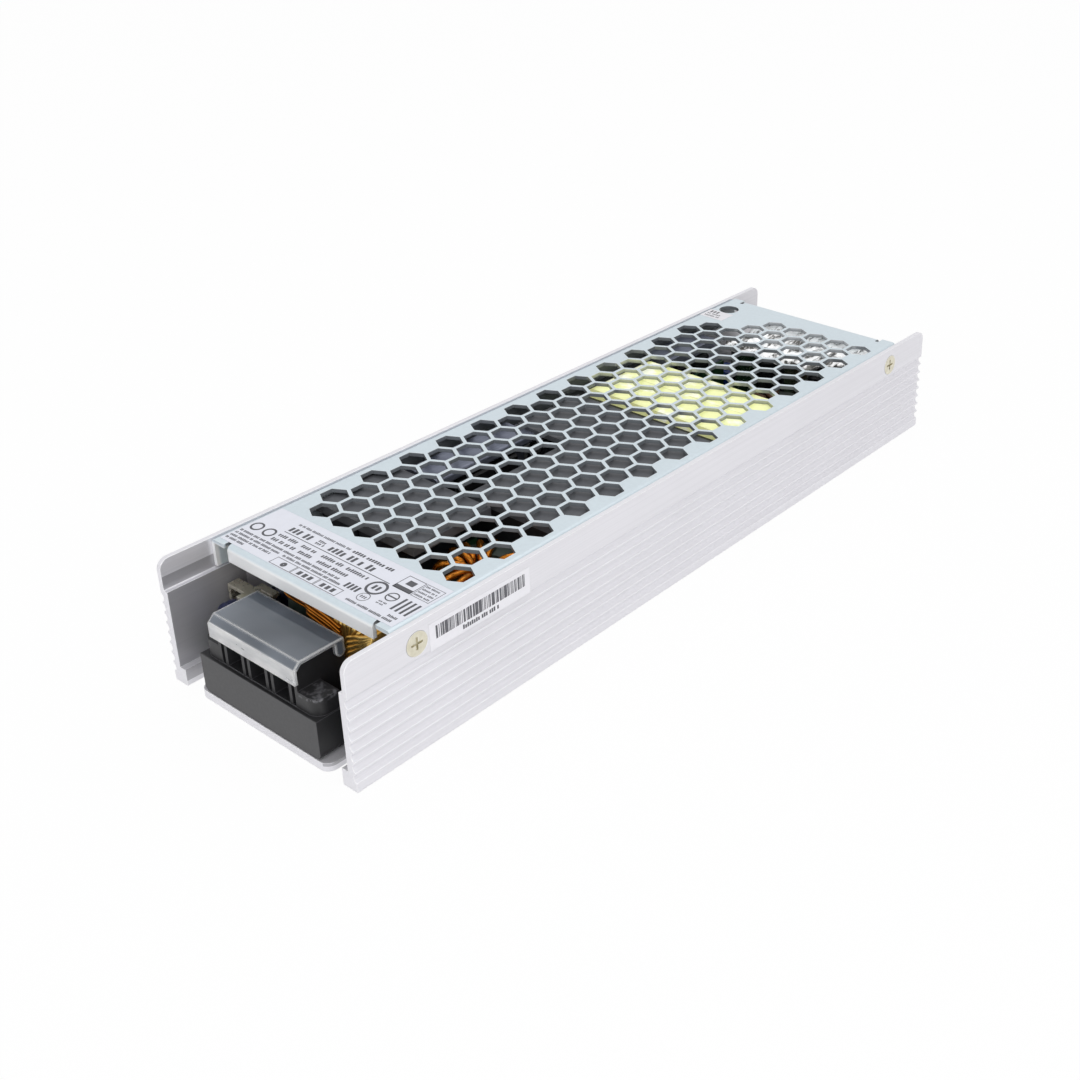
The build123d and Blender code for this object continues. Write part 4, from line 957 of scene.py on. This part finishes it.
class BuildStage(bpy.types.Operator):
    """Set up the floor, the soft light and the camera"""
    bl_idname = "power_supply.stage"
    bl_label = "Stage"

    # Photograph's frame: sensor in millimetres, shift of the picture, and the point looked at
    sensor = 36.0
    shift = (-0.1268, -0.0968)
    target = (33.07, 1.507, 15.5)

    def execute(self, context):
        stage = context.scene.supply_stage
        self.add_floor()
        self.add_world(stage.ambient)
        self.add_lamp("key_lamp", (-0.40, -0.41, 0.31), 0.75, stage.key_power)
        self.add_lamp("fill_lamp", (0.25, 0.1, 0.9), 0.7, stage.fill_power)
        self.add_camera(stage)
        context.scene.view_settings.view_transform = "Standard"
        return {"FINISHED"}

    def add_camera(self, stage):
        """Camera that looks at a point inside the case from the azimuth and elevation."""
        a, e, r = stage.azimuth, stage.elevation, stage.roll
        back = Vector((sin(a) * cos(e), -cos(a) * cos(e), sin(e)))
        side = Vector((cos(a), sin(a), 0.0))
        up = back.cross(side)
        across = side * cos(r) + up * sin(r)
        upward = up * cos(r) - side * sin(r)
        data = bpy.data.cameras.new("camera")
        data.lens = stage.lens
        data.sensor_width = self.sensor
        data.sensor_fit = "HORIZONTAL"
        data.shift_x, data.shift_y = self.shift
        data.clip_start = 0.01
        camera = put_in_scene("camera", data)
        turned = Matrix((across, upward, back)).transposed().to_4x4()
        camera.matrix_world = Matrix.Translation(Vector(self.target) * MM + back * stage.distance) @ turned
        bpy.context.scene.camera = camera

    def add_lamp(self, name, where, size, power):
        """Square lamp that faces the middle of the case."""
        data = bpy.data.lights.new(name, "AREA")
        data.size = size
        data.energy = power
        where = Vector(where)
        turned = where.to_track_quat("Z", "Y").to_matrix().to_4x4()
        put_in_scene(name, data).matrix_world = Matrix.Translation(where) @ turned

    def add_world(self, ambient):
        """Even light from all round, white where the camera, a mirror or glass sees it."""
        world = bpy.data.worlds.new("studio")
        world.use_nodes = True
        tree = world.node_tree
        background = tree.nodes["Background"].inputs
        background["Color"].default_value = WHITE
        tree.links.new(spread_value(tree, seen_directly(tree), 0.0, 1.0, ambient, 1.0),
                       background["Strength"])
        bpy.context.scene.world = world

    def add_floor(self):
        """Pale disc under the case that keeps its shadow and is white to the camera elsewhere. Its rings
        lie further apart as the square of their number."""
        rings, sides = 12, 48
        reach, hub, drop = 3.0, 0.001, 0.0002
        share_white = 0.96
        radius = np.linspace(0.0, 1.0, rings)[:, None] ** 2 * reach + hub
        angle = np.arange(sides)[None] * 2 * pi / sides
        points = np.stack([radius * np.cos(angle), radius * np.sin(angle), 0 * radius * angle - drop], -1)
        mesh = bpy.data.meshes.new("floor")
        faces = grid_faces(rings, sides).tolist() + [list(range(sides))]
        mesh.from_pydata(points.reshape(-1, 3).tolist(), [], faces)
        floor = put_in_scene("floor", mesh)
        material, tree, shader = new_material("floor")
        fill(shader, Base_Color=(0.92, 0.92, 0.93, 1.0), Roughness=0.9)
        glow = add(tree, "ShaderNodeEmission", Color=WHITE, Strength=1.0)
        mix = tree.nodes.new("ShaderNodeMixShader")
        tree.links.new(times(tree, seen_directly(tree), share_white), mix.inputs[0])
        tree.links.new(tree.nodes["Principled BSDF"].outputs[0], mix.inputs[1])
        tree.links.new(glow.outputs[0], mix.inputs[2])
        tree.links.new(mix.outputs[0], tree.nodes["Material Output"].inputs["Surface"])
        mesh.materials.append(material)


class SupplyPanel(bpy.types.Panel):
    """Buttons and sizes of the power supply's looks"""
    bl_idname = "VIEW3D_PT_power_supply"
    bl_label = "Power Supply"
    bl_space_type = "VIEW_3D"
    bl_region_type = "UI"
    bl_category = "Power Supply"

    def draw(self, context):
        for operator in OPERATORS:
            self.layout.operator(operator.bl_idname)
        for label, _ in GROUPS:
            group = getattr(context.scene, label)
            for name in group.bl_rna.properties.keys():
                if name not in ("rna_type", "name"):
                    self.layout.prop(group, name)


OPERATORS = (BuildFinishes, BuildWindings, BuildFilm, BuildRatingLabel, BuildStickers, BuildStage)
GROUPS = (("supply_colours", SupplyColours), ("supply_stage", SupplyStage),
          ("supply_windings", SupplyWindings), ("supply_labels", SupplyLabels))


def register():
    for name, group in GROUPS:
        bpy.utils.register_class(group)
        setattr(bpy.types.Scene, name, PointerProperty(type=group))
    for made in OPERATORS + (SupplyPanel,):
        bpy.utils.register_class(made)


def unregister():
    for made in reversed(OPERATORS + (SupplyPanel,)):
        bpy.utils.unregister_class(made)
    for name, group in reversed(GROUPS):
        delattr(bpy.types.Scene, name)
        bpy.utils.unregister_class(group)


def main():
    register()
    bpy.ops.power_supply.finishes()
    bpy.ops.power_supply.windings()
    bpy.ops.power_supply.film()
    bpy.ops.power_supply.rating_label()
    bpy.ops.power_supply.stickers()
    bpy.ops.power_supply.stage()


if __name__ == "__main__":
    main()
